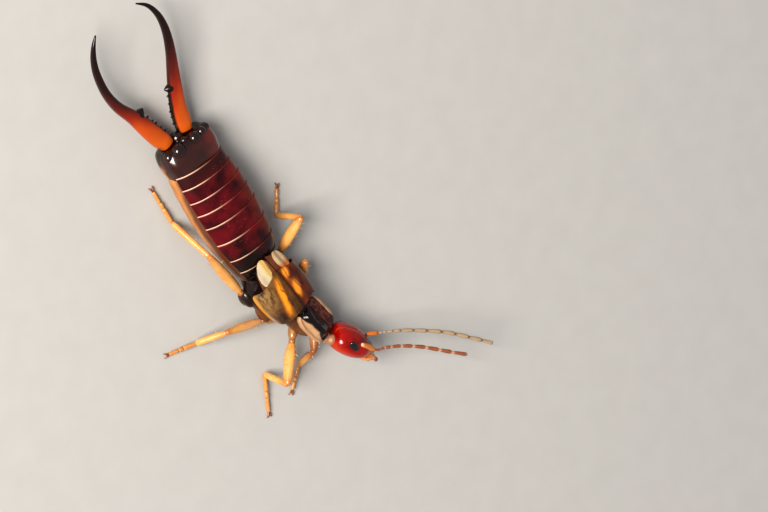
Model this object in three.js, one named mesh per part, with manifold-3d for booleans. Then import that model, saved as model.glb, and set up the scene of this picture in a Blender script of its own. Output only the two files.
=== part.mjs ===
import * as THREE from 'three';
import Module from 'manifold-3d';

// An earwig at life size, in millimetres, standing on the floor.
// The head faces -Y, the forceps point to +Y, the animal's left is +X, up is +Z.
// The front of the body swings to the animal's left and the head leans with it.

// Joints between named pieces
const GAP = 0.28;
const SOCKET_GAP = 0.15;
const THIN_GAP = 0.2;
const WELD = 0.004;

// Body rings: y, x, axis height, half width, height above the axis, depth below it
const ABDOMEN_RINGS = [
  [-3.3, 0.22, 1.45, 1.04, 0.55, 0.85],
  [-2.74, 0.15, 1.5, 1.24, 0.78, 1.02],
  [-1.96, 0.1, 1.5, 1.45, 1.0, 1.1],
  [-0.94, 0.03, 1.45, 1.61, 1.12, 1.12],
  [0.06, 0.0, 1.4, 1.69, 1.15, 1.12],
  [0.79, -0.03, 1.35, 1.71, 1.15, 1.08],
  [1.51, -0.05, 1.3, 1.69, 1.12, 1.04],
  [2.23, -0.08, 1.22, 1.64, 1.06, 0.97],
  [2.94, -0.1, 1.16, 1.56, 1.0, 0.91],
];
// Hind edges of the eight plates that show, from the front to the back
const PLATE_EDGES = [-3.3, -2.74, -1.96, -0.94, 0.06, 0.79, 1.51, 2.23, 2.94];
const PLATE_STEP = 0.055;
const PLATE_LIP = 0.07;
// Where along a plate its slope eases, and how much of the step it has risen by then
const PLATE_EASE = { along: 0.55, risen: 0.8 };
const FLANK_OUT = 0.05;
const FLANK_DROP = 0.15;
const BELLY_SQUARE = 3.2;
const ABDOMEN_SIDES = 30;
// How square a body section is: 2 is an oval, more is boxier
const OVAL = 2;
const PLATE_SQUARE = 2.15;
const CHEST_SQUARE = 2.3;
const LAST_SQUARE = 2.5;
const LAST_SIDES = 26;
const CHEST_SIDES = 24;
const NECK_SEGMENT_SIDES = 18;
const SHELL_SIDES = 36;
const KNOB_FLAT = 0.9;

const LAST_RINGS = [
  [0.0, -0.1, 1.13, 1.5, 0.97, 0.87],
  [0.35, -0.11, 1.11, 1.52, 0.97, 0.86],
  [0.8, -0.12, 1.08, 1.48, 0.92, 0.83],
  [1.1, -0.13, 1.05, 1.38, 0.84, 0.78],
  [1.25, -0.13, 1.05, 1.2, 0.68, 0.66],
];
// Knobs on the hind edge of the last segment: x, y from its front, z, radius
const LAST_KNOBS = [
  [-0.78, 1.02, 1.72, 0.26],
  [0.3, 1.06, 1.74, 0.25],
  [-1.26, 0.98, 1.42, 0.22],
  [0.82, 1.0, 1.66, 0.22],
  [1.12, 0.92, 1.46, 0.2],
  [-0.24, 1.2, 1.62, 0.17],
];

const THORAX_RINGS = [
  [-6.2, 0.86, 1.15, 0.86, 0.7, 0.5],
  [-5.7, 0.72, 1.15, 1.1, 0.82, 0.6],
  [-5.0, 0.53, 1.14, 1.22, 0.85, 0.64],
  [-4.2, 0.36, 1.12, 1.22, 0.8, 0.62],
  [-3.58, 0.26, 1.1, 1.02, 0.7, 0.55],
];
const PROTHORAX_RINGS = [
  [-7.62, 1.34, 1.2, 0.56, 0.44, 0.42],
  [-7.3, 1.23, 1.15, 0.72, 0.5, 0.48],
  [-6.8, 1.04, 1.15, 0.76, 0.5, 0.48],
  [-6.48, 0.95, 1.15, 0.66, 0.45, 0.42],
];

// Wing cases: rings of their outer face, and the wall between outer and inner face
const WING_CASE_RINGS = [
  [-6.3, 0.9, 1.4, 1.08, 1.1, 0.7],
  [-5.6, 0.69, 1.4, 1.26, 1.2, 0.7],
  [-5.0, 0.53, 1.4, 1.33, 1.25, 0.7],
  [-4.2, 0.36, 1.4, 1.33, 1.25, 0.7],
  [-3.4, 0.25, 1.42, 1.22, 1.2, 0.7],
  [-2.9, 0.2, 1.45, 1.1, 1.12, 0.7],
  [-2.1, 0.12, 1.45, 0.9, 1.05, 0.7],
];
const WING_CASE_WALL = 0.5;
const WING_CASE_LOW_EDGE = 1.45;
// A point on the front edge, and the two ends of the seam between the cases
const WING_CASE_FRONT = [0.62, -5.55];
const WING_SEAM = { front: [0.72, -5.9], back: [0.27, -3.28] };
const SHELL_SPAN = { outer: [-6.3, -2.1], inner: [-6.6, -1.8], steps: 14 };
const WING_CASE_HIND = { right: [-0.97, -4.05], middle: [0.25, -3.38], left: [1.42, -3.72] };
// Folded wings: the point where both end, how far the ends slant back, low edge
const WING_TIP_END = [0.2, -2.6];
const WING_TIP_SLANT = 0.55;
const WING_TIP_LOW_EDGE = 1.95;
const WING_TIP_INSET = 0.02;
// Main vein, as a ridge: across from the end point, y, z
const WING_VEIN = [[0.33, -3.18, 2.52], [0.28, -2.92, 2.47]];
const VEIN_RADIUS = 0.09;

// Shield over the first segment: centre, turn, lean and outline
const SHIELD_AT = [1.14, -6.93, 2.1];
const SHIELD_TURN = 17;
const SHIELD_LEAN = 8;
const SHIELD_PITCH = 4;
const SHIELD_RISE = 0.3;
const SHIELD_THICK = 0.42;
const SHIELD_HALF = 0.86;
// The underside is a little smaller than the face, and the rims are thinner than the middle
const SHIELD_UNDER = { across: 0.94, along: 0.96 };
const SHIELD_RIM_THINNER = 0.35;
const SHIELD_STEPS = 10;
// distance forward, half width
const SHIELD_OUTLINE = [
  [-1.06, 0.3],
  [-0.98, 0.56],
  [-0.82, 0.74],
  [-0.5, 0.84],
  [0.0, 0.86],
  [0.45, 0.82],
  [0.72, 0.74],
  [0.82, 0.6],
];

const NECK = { radius: 0.38, flat: 0.8, narrow: 0.9, rise: 0.1, back: 0.34, front: 0.32, sides: 14 };

// Head: centre, turn, lean and rings along its own length
const HEAD_AT = [2.26, -9.06, 1.75];
const HEAD_TURN = 41.7;
const HEAD_LEAN = 52;
const HEAD_PITCH = 5;
const HEAD_RINGS = [
  [-0.88, 0.36, 0.34, 0.31],
  [-0.8, 0.58, 0.48, 0.44],
  [-0.6, 0.8, 0.61, 0.55],
  [-0.28, 0.92, 0.68, 0.6],
  [0.1, 0.94, 0.69, 0.61],
  [0.48, 0.88, 0.64, 0.57],
  [0.82, 0.76, 0.53, 0.49],
  [1.1, 0.6, 0.42, 0.4],
  [1.3, 0.46, 0.31, 0.31],
];
// Eyes: where they sit on the head, and half sizes across, along and up
const EYE = { forward: -0.1, across: 0.78, up: 0.22, radii: [0.17, 0.22, 0.3] };
const JAW_RINGS = [
  [1.58, 0.38, 0.22, 0.25],
  [1.75, 0.34, 0.2, 0.24],
  [1.92, 0.2, 0.12, 0.2],
];
const PALP = { across: 0.3, forward: 1.5, drop: 0.4, length: 0.62, radius: 0.14 };

// Feelers: path from the root ring to the tip, and the number of joints shown
const FEELER_LEFT = [
  [3.3, -9.42, 1.97],
  [3.81, -9.73, 2.0],
  [4.56, -10.18, 2.05],
  [5.54, -10.88, 2.1],
  [6.82, -11.95, 2.15],
  [7.99, -13.19, 2.2],
  [8.72, -14.02, 2.2],
];
const FEELER_RIGHT = [
  [3.06, -10.05, 1.9],
  [3.35, -10.35, 1.9],
  [3.94, -10.64, 1.9],
  [4.55, -11.08, 1.9],
  [5.45, -11.81, 1.9],
  [6.37, -12.72, 1.9],
  [7.42, -13.75, 1.9],
];
const FEELER_JOINTS = 12;
const FEELER_RADIUS = 0.25;
const FEELER_NOTCH = 0.19;
const FEELER_NOTCH_HALF = 0.05;
// Where along a joint it is at its stoutest
const FEELER_SWELL = [0.3, 0.75];
const FEELER_TIP = 0.12;
const FEELER_SIDES = 8;

// Forceps: x, y, z, half width across, half height
const FORCEPS_RIGHT = [
  [-0.84, 4.46, 1.05, 0.5, 0.36],
  [-1.04, 4.85, 1.05, 0.54, 0.34],
  [-1.34, 5.75, 1.12, 0.5, 0.3],
  [-1.78, 6.8, 1.2, 0.38, 0.28],
  [-2.27, 7.75, 1.3, 0.27, 0.26],
  [-2.55, 8.75, 1.45, 0.25, 0.25],
  [-2.58, 9.82, 1.6, 0.22, 0.23],
  [-2.45, 10.61, 1.75, 0.18, 0.2],
  [-2.18, 11.25, 1.9, 0.13, 0.15],
  [-1.84, 11.7, 2.0, 0.06, 0.07],
];
const FORCEPS_LEFT = [
  [0.38, 4.46, 1.05, 0.5, 0.36],
  [0.49, 4.85, 1.05, 0.5, 0.34],
  [0.58, 5.61, 1.1, 0.47, 0.31],
  [0.84, 6.48, 1.2, 0.41, 0.29],
  [1.16, 7.46, 1.35, 0.33, 0.27],
  [1.37, 8.18, 1.5, 0.27, 0.26],
  [1.56, 8.91, 1.6, 0.25, 0.25],
  [1.62, 9.67, 1.75, 0.23, 0.23],
  [1.55, 10.39, 1.85, 0.18, 0.19],
  [1.25, 11.1, 1.95, 0.13, 0.14],
  [0.71, 11.61, 2.0, 0.06, 0.07],
];
// Teeth on the inner edge: share of the length, scale
const TEETH_RIGHT = [[0.1, 0.6], [0.2, 0.65], [0.32, 1.3]];
const TEETH_LEFT = [[0.1, 0.6], [0.22, 0.65], [0.36, 1.3]];
const FORCEPS_TOOTH = { size: 0.2, height: 0.22, root: 0.45, tip: 0.05 };
const FORCEPS_SIDES = 12;

// Legs: where the hip, knee, ankle and toe are, and how stout each part is
const LEGS = {
  front_left: {
    hip: [1.62, -7.62, 0.92],
    knee: [0.85, -8.72, 1.0],
    ankle: [0.15, -9.15, 0.28],
    toe: [-0.7, -10.0, 0.12],
    stout: 0.29,
  },
  front_right: {
    hip: [0.12, -7.52, 0.98],
    knee: [-1.48, -8.87, 1.5],
    ankle: [-1.66, -8.3, 0.28],
    toe: [-2.32, -10.09, 0.12],
    stout: 0.31,
  },
  middle_left: {
    hip: [1.95, -5.55, 0.9],
    knee: [2.25, -4.45, 1.78],
    ankle: [2.56, -5.4, 0.28],
    toe: [2.66, -6.65, 0.12],
    stout: 0.28,
  },
  middle_right: {
    hip: [-0.72, -5.78, 0.92],
    knee: [-2.97, -4.76, 1.45],
    ankle: [-4.03, -4.76, 0.28],
    toe: [-5.47, -4.36, 0.12],
    stout: 0.27,
  },
  hind_left: {
    hip: [1.66, -3.66, 0.95],
    knee: [2.95, -2.38, 2.15],
    ankle: [2.82, -2.42, 0.28],
    toe: [3.62, -1.45, 0.12],
    stout: 0.3,
  },
  hind_right: {
    hip: [-1.05, -3.98, 0.95],
    knee: [-2.07, -0.95, 1.85],
    ankle: [-2.14, 0.84, 0.28],
    toe: [-2.14, 2.62, 0.12],
    stout: 0.3,
  },
};
const HIP = { radius: 0.4, back: 0.45, reach: 3.7 };
const SHIN_ROOM = 0.12;
const SHIN_RADIUS = 0.25;
const FOOT_RADIUS = 0.25;
const TOE_RADIUS = 0.13;
const LIMB_SIDES = 10;
const CLAW = { length: 0.3, radius: 0.07, spread: 28, root: 0.12 };
// How far a part runs past its joint before it is trimmed along the plane of the bend
const JOINT_OVERRUN = 0.14;
// Share of the length, and thickness as a share of the leg's stoutness
const THIGH_PROFILE = [[0.12, 0.9], [0.4, 1.03], [0.75, 0.92]];
const THIGH_ENDS = [[0, 0.22], [0.95, 0.25], [1, 0.17]];
const SHIN_PROFILE = [[0, 0.7], [0.06, 1], [0.5, 1], [0.94, 1], [1, 0.7]];
const CLAW_PROFILE = [[0, 1], [0.6, 1], [1, 0.45]];

const wasm = await Module();
wasm.setup();

const earwig = new THREE.Group();
earwig.name = 'earwig';

const UP = new THREE.Vector3(0, 0, 1);
const vec = (a) => new THREE.Vector3(a[0], a[1], a[2]);
const lerp = THREE.MathUtils.lerp;
const rad = THREE.MathUtils.degToRad;

// A table of rows read at any station, in straight steps between its rows
function readTable(rows, at, column) {
  let i = 0;
  while (i < rows.length - 2 && at > rows[i + 1][0]) {
    i += 1;
  }
  const span = rows[i + 1][0] - rows[i][0];
  const t = (at - rows[i][0]) / span;
  return lerp(rows[i][column], rows[i + 1][column], Math.min(1, Math.max(0, t)));
}

// A closed skin over loops that have the same number of points
function skin(loops) {
  const n = loops[0].length;
  const points = [];
  const faces = [];
  loops.forEach((loop) => loop.forEach((p) => points.push(p)));
  for (let r = 0; r < loops.length - 1; r += 1) {
    for (let k = 0; k < n; k += 1) {
      const a = r * n + k;
      const b = r * n + ((k + 1) % n);
      faces.push([a, b, b + n], [a, b + n, a + n]);
    }
  }
  const middle = (loop) => {
    const c = new THREE.Vector3();
    loop.forEach((p) => c.add(p));
    return c.divideScalar(loop.length);
  };
  const first = points.length;
  points.push(middle(loops[0]));
  const last = points.length;
  points.push(middle(loops[loops.length - 1]));
  const start = (loops.length - 1) * n;
  for (let k = 0; k < n; k += 1) {
    const next = (k + 1) % n;
    faces.push([first, next, k], [last, start + k, start + next]);
  }
  return toSolid(points, faces);
}

// A joined solid from points and faces, turned inside out where its volume is negative
function toSolid(points, faces) {
  let volume = 0;
  faces.forEach(([a, b, c]) => {
    volume += points[a].dot(new THREE.Vector3().crossVectors(points[b], points[c]));
  });
  const order = volume < 0 ? [0, 2, 1] : [0, 1, 2];
  const mesh = new wasm.Mesh({
    numProp: 3,
    vertProperties: new Float32Array(points.flatMap((p) => [p.x, p.y, p.z])),
    triVerts: new Uint32Array(faces.flatMap((f) => order.map((k) => f[k]))),
  });
  mesh.merge();
  return new wasm.Manifold(mesh);
}

// An oval loop of points across a heading
function oval(at, heading, halfWidth, above, below, sides, square = OVAL, low = square) {
  const side = new THREE.Vector3().crossVectors(heading, UP).normalize();
  const top = new THREE.Vector3().crossVectors(side, heading).normalize();
  const loop = [];
  for (let k = 0; k < sides; k += 1) {
    const angle = ((k + 0.5) / sides) * Math.PI * 2;
    const c = Math.cos(angle);
    const s = Math.sin(angle);
    const power = 2 / (s > 0 ? square : low);
    const across = Math.sign(c) * Math.abs(c) ** power * halfWidth;
    const high = Math.sign(s) * Math.abs(s) ** power * (s > 0 ? above : below);
    loop.push(at.clone().addScaledVector(side, across).addScaledVector(top, high));
  }
  return loop;
}

// Body rings are given by y, and each faces along the line through its neighbours
function bodyRing(rows, y, grow, sides, square, low = square) {
  const step = 0.2;
  const x = readTable(rows, y, 1);
  const z = readTable(rows, y, 2);
  const ahead = readTable(rows, y + step, 1);
  const behind = readTable(rows, y - step, 1);
  const heading = new THREE.Vector3(ahead - behind, 2 * step, 0).normalize();
  const centre = new THREE.Vector3(x, y, z);
  const wide = readTable(rows, y, 3) + grow;
  const above = readTable(rows, y, 4) + grow;
  const below = readTable(rows, y, 5) + grow;
  return oval(centre, heading, wide, above, below, sides, square, low);
}

function bodyLoft(rows, stations, grow, sides, square) {
  return skin(stations.map((y) => bodyRing(rows, y, grow, sides, square)));
}

function evenSteps(from, to, count) {
  return Array.from({ length: count + 1 }, (_, i) => lerp(from, to, i / count));
}

// A limb from one point to another: profile rows are share of length, half width, half height
function limb(from, to, profile, sides, bow = 0) {
  const heading = to.clone().sub(from).normalize();
  const side = new THREE.Vector3().crossVectors(heading, UP).normalize();
  const top = new THREE.Vector3().crossVectors(side, heading).normalize();
  return skin(profile.map(([t, wide, high]) => {
    const at = from.clone().lerp(to, t);
    at.addScaledVector(top, bow * 4 * t * (1 - t));
    return oval(at, heading, wide, high, high, sides);
  }));
}

// A half space as a large block, to trim a solid along a plane
function beyond(point, normal) {
  const size = 40;
  const block = new THREE.BoxGeometry(size, size, size);
  block.translate(0, 0, size / 2);
  const turn = new THREE.Quaternion().setFromUnitVectors(UP, normal.clone().normalize());
  block.applyQuaternion(turn);
  block.translate(point.x, point.y, point.z);
  return fromGeometry(block);
}

function fromGeometry(geometry) {
  const place = geometry.getAttribute('position');
  const points = [];
  for (let i = 0; i < place.count; i += 1) {
    points.push(new THREE.Vector3().fromBufferAttribute(place, i));
  }
  const faces = [];
  const index = geometry.getIndex();
  for (let i = 0; i < index.count; i += 3) {
    faces.push([index.getX(i), index.getX(i + 1), index.getX(i + 2)]);
  }
  return toSolid(points, faces);
}

// An egg-shaped solid with its own turn
function egg(at, radii, turn, around = 12, rings = 8) {
  const geometry = new THREE.SphereGeometry(1, around, rings);
  geometry.scale(radii[0], radii[1], radii[2]);
  geometry.applyQuaternion(turn);
  geometry.translate(at.x, at.y, at.z);
  return fromGeometry(geometry);
}

// Very short edges are closed up so that every face has a plain size
function tidySurface(mesh) {
  const count = mesh.vertProperties.length / mesh.numProp;
  const points = [];
  for (let i = 0; i < count; i += 1) {
    const o = i * mesh.numProp;
    points.push(new THREE.Vector3().fromArray(mesh.vertProperties, o));
  }
  const home = points.map((_, i) => i);
  const find = (i) => {
    let k = i;
    while (home[k] !== k) {
      k = home[k];
    }
    return k;
  };
  for (let t = 0; t < mesh.triVerts.length; t += 3) {
    for (let e = 0; e < 3; e += 1) {
      const a = find(mesh.triVerts[t + e]);
      const b = find(mesh.triVerts[t + ((e + 1) % 3)]);
      if (a !== b && points[a].distanceTo(points[b]) < WELD) {
        home[b] = a;
      }
    }
  }
  const triangles = [];
  for (let t = 0; t < mesh.triVerts.length; t += 3) {
    const tri = [0, 1, 2].map((e) => find(mesh.triVerts[t + e]));
    if (tri[0] !== tri[1] && tri[1] !== tri[2] && tri[2] !== tri[0]) {
      triangles.push(tri);
    }
  }
  return { points, triangles };
}

function material(name, colour, roughness) {
  const made = new THREE.MeshStandardMaterial({ color: colour, roughness, metalness: 0 });
  made.name = name;
  return made;
}

function addNode(name, solid, surface) {
  const pieces = solid.decompose();
  pieces.sort((a, b) => b.volume() - a.volume());
  const { points, triangles } = tidySurface(pieces[0].getMesh());
  const geometry = new THREE.BufferGeometry();
  const flat = points.flatMap((p) => [p.x, p.y, p.z]);
  geometry.setAttribute('position', new THREE.Float32BufferAttribute(flat, 3));
  geometry.setIndex(triangles.flat());
  geometry.computeVertexNormals();
  const node = new THREE.Mesh(geometry, surface);
  node.name = name;
  earwig.add(node);
  return node;
}

const COLOURS = {
  abdomen: ['abdomen', '#43120f', 0.25],
  last: ['last_segment', '#26100d', 0.15],
  forceps: ['forceps', '#a63c08', 0.22],
  thorax: ['thorax', '#4b2a15', 0.35],
  wingCase: ['wing_case', '#7b4517', 0.3],
  wing: ['wing', '#d3b27a', 0.4],
  shield: ['shield', '#2b130c', 0.25],
  neck: ['neck', '#d9b98a', 0.5],
  head: ['head', '#93160a', 0.18],
  eye: ['eye', '#0b0808', 0.15],
  jaw: ['jaws', '#b0521b', 0.3],
  feeler: ['feeler', '#a87850', 0.5],
  leg: ['leg', '#d98f3d', 0.3],
};
const paint = (key) => material(...COLOURS[key]);

// Abdomen: each plate widens to its hind edge and steps down to the next one
function makeAbdomen() {
  const loops = [];
  const stepped = (y, share) => {
    const shrink = -PLATE_STEP * (1 - share);
    const ring = bodyRing(ABDOMEN_RINGS, y, shrink, ABDOMEN_SIDES, PLATE_SQUARE, BELLY_SQUARE);
    const axis = readTable(ABDOMEN_RINGS, y, 2);
    const middle = readTable(ABDOMEN_RINGS, y, 1);
    return ring.map((p) => {
      if (p.z > axis - FLANK_DROP) {
        return p;
      }
      const moved = p.clone();
      moved.x = middle + (p.x - middle) * (1 + FLANK_OUT);
      return moved;
    });
  };
  for (let i = 0; i < PLATE_EDGES.length - 1; i += 1) {
    const front = PLATE_EDGES[i];
    const hind = PLATE_EDGES[i + 1];
    loops.push(stepped(front + (i === 0 ? 0 : PLATE_LIP), 0));
    loops.push(stepped(lerp(front, hind, PLATE_EASE.along), PLATE_EASE.risen));
    loops.push(stepped(hind, 1));
  }
  return skin(loops);
}

// Last segment: a broad block with knobs on its hind edge
const lastFront = PLATE_EDGES[PLATE_EDGES.length - 1] + GAP;

function makeLastSegment() {
  const rings = LAST_RINGS.map((row) => [row[0] + lastFront, ...row.slice(1)]);
  let solid = bodyLoft(rings, rings.map((row) => row[0]), 0, LAST_SIDES, LAST_SQUARE);
  const still = new THREE.Quaternion();
  LAST_KNOBS.forEach(([x, y, z, r]) => {
    const at = new THREE.Vector3(x, lastFront + y, z);
    solid = solid.add(egg(at, [r, r, r * KNOB_FLAT], still, 10, 6));
  });
  return solid;
}

const lastHind = lastFront + LAST_RINGS[LAST_RINGS.length - 1][0];

// Forceps: a broad toothed blade that thins into a long hooked arm
function makeForceps(rows, teeth, inward) {
  const points = rows.map((row) => vec(row));
  points[0].y = lastHind + GAP + 0.02;
  const curve = new THREE.CatmullRomCurve3(points, false, 'centripetal');
  const loops = [];
  const steps = (rows.length - 1) * 2;
  for (let i = 0; i <= steps; i += 1) {
    const t = i / steps;
    const at = curve.getPoint(t);
    const heading = curve.getTangent(t);
    const k = Math.min(rows.length - 2, Math.floor(t * (rows.length - 1)));
    const local = t * (rows.length - 1) - k;
    const wide = lerp(rows[k][3], rows[k + 1][3], local);
    const high = lerp(rows[k][4], rows[k + 1][4], local);
    loops.push(oval(at, heading, wide, high, high, FORCEPS_SIDES, CHEST_SQUARE));
  }
  let solid = skin(loops);
  teeth.forEach(([t, scale]) => {
    const at = curve.getPoint(t);
    const k = Math.floor(t * (rows.length - 1));
    const wide = rows[k][3];
    const base = at.clone();
    base.x += inward * wide * FORCEPS_TOOTH.root;
    const tip = at.clone();
    tip.x += inward * (wide + FORCEPS_TOOTH.height * scale);
    const r = FORCEPS_TOOTH.size * scale;
    const point = FORCEPS_TOOTH.tip;
    solid = solid.add(limb(base, tip, [[0, r, r], [0.6, r * 0.8, r * 0.8], [1, point, point]], 6));
  });
  const face = new THREE.Vector3(0, lastHind + GAP, 0);
  return solid.subtract(beyond(face, new THREE.Vector3(0, -1, 0)));
}

// Wing cases: the two halves of an arched shell, with the folded wings behind them
const hindLine = WING_CASE_HIND;

function shellBand(grow) {
  const loft = ([from, to], grown) => {
    const stations = evenSteps(from, to, SHELL_SPAN.steps);
    return bodyLoft(WING_CASE_RINGS, stations, grown, SHELL_SIDES, CHEST_SQUARE);
  };
  const outer = loft(SHELL_SPAN.outer, grow);
  return outer.subtract(loft(SHELL_SPAN.inner, -WING_CASE_WALL - grow));
}

function frontCut(shift) {
  const turn = rad(SHIELD_TURN);
  const forward = new THREE.Vector3(Math.sin(turn), -Math.cos(turn), 0);
  const [x, y] = WING_CASE_FRONT;
  const at = new THREE.Vector3(x, y, 0).addScaledVector(forward, shift);
  return beyond(at, forward);
}

function seam(side, shift) {
  const front = new THREE.Vector3(...WING_SEAM.front, 0);
  const back = new THREE.Vector3(...WING_SEAM.back, 0);
  const along = back.clone().sub(front).normalize();
  const across = new THREE.Vector3().crossVectors(along, UP).multiplyScalar(side);
  const at = front.clone().addScaledVector(across, shift);
  return beyond(at, across.clone().negate());
}

function hindCut(side, shift, back) {
  const outer = side > 0 ? hindLine.left : hindLine.right;
  const a = new THREE.Vector3(outer[0], outer[1], 0);
  const b = new THREE.Vector3(hindLine.middle[0], hindLine.middle[1], 0);
  const along = b.clone().sub(a).normalize();
  const normal = new THREE.Vector3(-along.y, along.x, 0);
  if (normal.y < 0) {
    normal.negate();
  }
  const at = a.clone().addScaledVector(normal, shift);
  return beyond(at, back ? normal : normal.clone().negate());
}

function lowCut(height) {
  return beyond(new THREE.Vector3(0, 0, height), new THREE.Vector3(0, 0, -1));
}

function makeWingCase(side) {
  let solid = shellBand(0);
  solid = solid.subtract(seam(side, THIN_GAP / 2));
  solid = solid.subtract(frontCut(0));
  solid = solid.subtract(lowCut(WING_CASE_LOW_EDGE));
  return solid.subtract(hindCut(side, 0, true));
}

function wingBlade(side, grow) {
  let solid = shellBand(grow - WING_TIP_INSET);
  solid = solid.subtract(seam(side, THIN_GAP / 2 - grow));
  solid = solid.subtract(lowCut(WING_TIP_LOW_EDGE - grow));
  solid = solid.subtract(hindCut(side, GAP - grow, false));
  const slant = new THREE.Vector3(side * WING_TIP_SLANT, 1, 0).normalize();
  const at = new THREE.Vector3(WING_TIP_END[0], WING_TIP_END[1], 0);
  return solid.subtract(beyond(at.addScaledVector(slant, grow), slant));
}

function makeWingTip(side) {
  const vein = WING_VEIN.map(([across, y, z]) => new THREE.Vector3(
    WING_TIP_END[0] + side * across, y, z,
  ));
  const r = VEIN_RADIUS;
  const ridge = limb(vein[0], vein[1], [[0, r, r], [0.5, r, r], [1, r * 0.6, r * 0.6]], 6);
  return wingBlade(side, 0).add(ridge);
}

// The room that the shell needs, cut out of what lies under it
function shellRoom() {
  return shellBand(GAP).subtract(lowCut(WING_CASE_LOW_EDGE - GAP));
}

function makeThorax() {
  const stations = evenSteps(THORAX_RINGS[0][0], THORAX_RINGS[4][0], 8);
  const core = bodyLoft(THORAX_RINGS, stations, 0, CHEST_SIDES, CHEST_SQUARE);
  return core.subtract(shellRoom());
}

function makeProthorax() {
  const stations = evenSteps(PROTHORAX_RINGS[0][0], PROTHORAX_RINGS[3][0], 5);
  return bodyLoft(PROTHORAX_RINGS, stations, 0, NECK_SEGMENT_SIDES, CHEST_SQUARE);
}

// A frame that stands on the body: forward, side and up in its own lean
function standing(at, turn, lean, pitch) {
  const yaw = new THREE.Quaternion().setFromAxisAngle(UP, rad(turn));
  const roll = new THREE.Quaternion().setFromAxisAngle(new THREE.Vector3(0, 1, 0), rad(lean));
  const tip = new THREE.Quaternion().setFromAxisAngle(new THREE.Vector3(1, 0, 0), rad(pitch));
  const turnAll = yaw.multiply(roll).multiply(tip);
  const centre = vec(at);
  const place = (left, forward, up) => new THREE.Vector3(left, -forward, up)
    .applyQuaternion(turnAll).add(centre);
  return { turn: turnAll, place };
}

// Shield: an arched plate with rounded corners and thinner rims
const shieldFrame = standing(SHIELD_AT, SHIELD_TURN, SHIELD_LEAN, SHIELD_PITCH);

function makeShield() {
  const shares = evenSteps(-1, 1, SHIELD_STEPS);
  const loops = SHIELD_OUTLINE.map(([forward, half]) => {
    const arch = (s) => SHIELD_RISE * (1 - (s * half / SHIELD_HALF) ** 2);
    const face = shares.map((s) => shieldFrame.place(s * half, forward, arch(s)));
    const under = shares.map((s) => {
      const thick = SHIELD_THICK * (1 - SHIELD_RIM_THINNER * s * s);
      const left = s * half * SHIELD_UNDER.across;
      return shieldFrame.place(left, forward * SHIELD_UNDER.along, arch(s) - thick);
    });
    return [...face, ...under.reverse()];
  });
  return skin(loops);
}

// Head: an egg-shaped capsule, flatter below, that narrows to the jaws
const headFrame = standing(HEAD_AT, HEAD_TURN, HEAD_LEAN, HEAD_PITCH);

function headLoop([forward, half, above, below], sides) {
  const loop = [];
  for (let k = 0; k < sides; k += 1) {
    const angle = ((k + 0.5) / sides) * Math.PI * 2;
    const c = Math.cos(angle);
    const s = Math.sin(angle);
    const high = s * (s > 0 ? above : below);
    loop.push(headFrame.place(c * half, forward, high));
  }
  return loop;
}

function eyeAt(side) {
  return headFrame.place(side * EYE.across, EYE.forward, EYE.up);
}

function makeEye(side, grow) {
  const radii = EYE.radii.map((r) => r + grow);
  return egg(eyeAt(side), radii, headFrame.turn, 14, 10);
}

function feelerRoom(path) {
  const [from, middle, to] = path.map(vec);
  const back = from.clone().sub(middle).normalize();
  const start = from.clone().addScaledVector(back, THIN_GAP);
  const past = middle.clone().addScaledVector(back, -FEELER_RADIUS);
  const r = FEELER_RADIUS + THIN_GAP;
  const rows = [[0, r, r], [0.5, r, r], [1, r * 1.2, r * 1.2]];
  return limb(start, past, rows, 10).add(limb(middle, to, rows, 10));
}

function makeHead() {
  let solid = skin(HEAD_RINGS.map((row) => headLoop(row, 22)));
  solid = solid.subtract(makeEye(1, SOCKET_GAP)).subtract(makeEye(-1, SOCKET_GAP));
  solid = solid.subtract(feelerRoom(FEELER_LEFT)).subtract(feelerRoom(FEELER_RIGHT));
  return solid;
}

function makeJaws() {
  let solid = skin(JAW_RINGS.map((row) => headLoop(row, 14)));
  [1, -1].forEach((side) => {
    const a = headFrame.place(side * PALP.across * 0.6, PALP.forward + 0.05, -0.1);
    const b = headFrame.place(side * PALP.across, PALP.forward + PALP.length, -PALP.drop);
    const r = PALP.radius;
    const profile = [[0, r, r], [0.5, r, r], [0.9, r * 0.9, r * 0.9], [1, r * 0.5, r * 0.5]];
    solid = solid.add(limb(a, b, profile, 8));
  });
  solid = solid.subtract(feelerRoom(FEELER_LEFT)).subtract(feelerRoom(FEELER_RIGHT));
  return solid;
}

function makeNeck() {
  const back = vec([
    PROTHORAX_RINGS[0][1], PROTHORAX_RINGS[0][0], PROTHORAX_RINGS[0][2] + NECK.rise,
  ]);
  const front = headFrame.place(0, HEAD_RINGS[0][0], 0);
  const along = front.clone().sub(back).normalize();
  const a = back.clone().addScaledVector(along, NECK.back);
  const b = front.clone().addScaledVector(along, -NECK.front);
  const wide = NECK.radius;
  const high = NECK.radius * NECK.flat;
  const rows = [[0, wide, high], [0.5, wide, high], [1, wide * NECK.narrow, high * NECK.narrow]];
  return limb(a, b, rows, NECK.sides);
}

// Feelers: a string of slightly swollen joints that thin to the tip
function makeFeeler(path) {
  const curve = new THREE.CatmullRomCurve3(path.map(vec), false, 'centripetal');
  const length = curve.getLength();
  const loops = [];
  const ring = (t, r) => {
    const at = curve.getPointAt(t);
    loops.push(oval(at, curve.getTangentAt(t), r, r, r, FEELER_SIDES));
  };
  for (let i = 0; i < FEELER_JOINTS; i += 1) {
    const from = i / FEELER_JOINTS;
    const to = (i + 1) / FEELER_JOINTS;
    const last = i === FEELER_JOINTS - 1;
    const notch = FEELER_NOTCH_HALF / length;
    ring(from + notch, FEELER_NOTCH);
    ring(lerp(from, to, FEELER_SWELL[0]), FEELER_RADIUS);
    ring(lerp(from, to, FEELER_SWELL[1]), FEELER_RADIUS * (last ? 0.8 : 1));
    ring(to - (last ? 0 : notch), last ? FEELER_TIP : FEELER_NOTCH);
  }
  return skin(loops);
}

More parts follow.
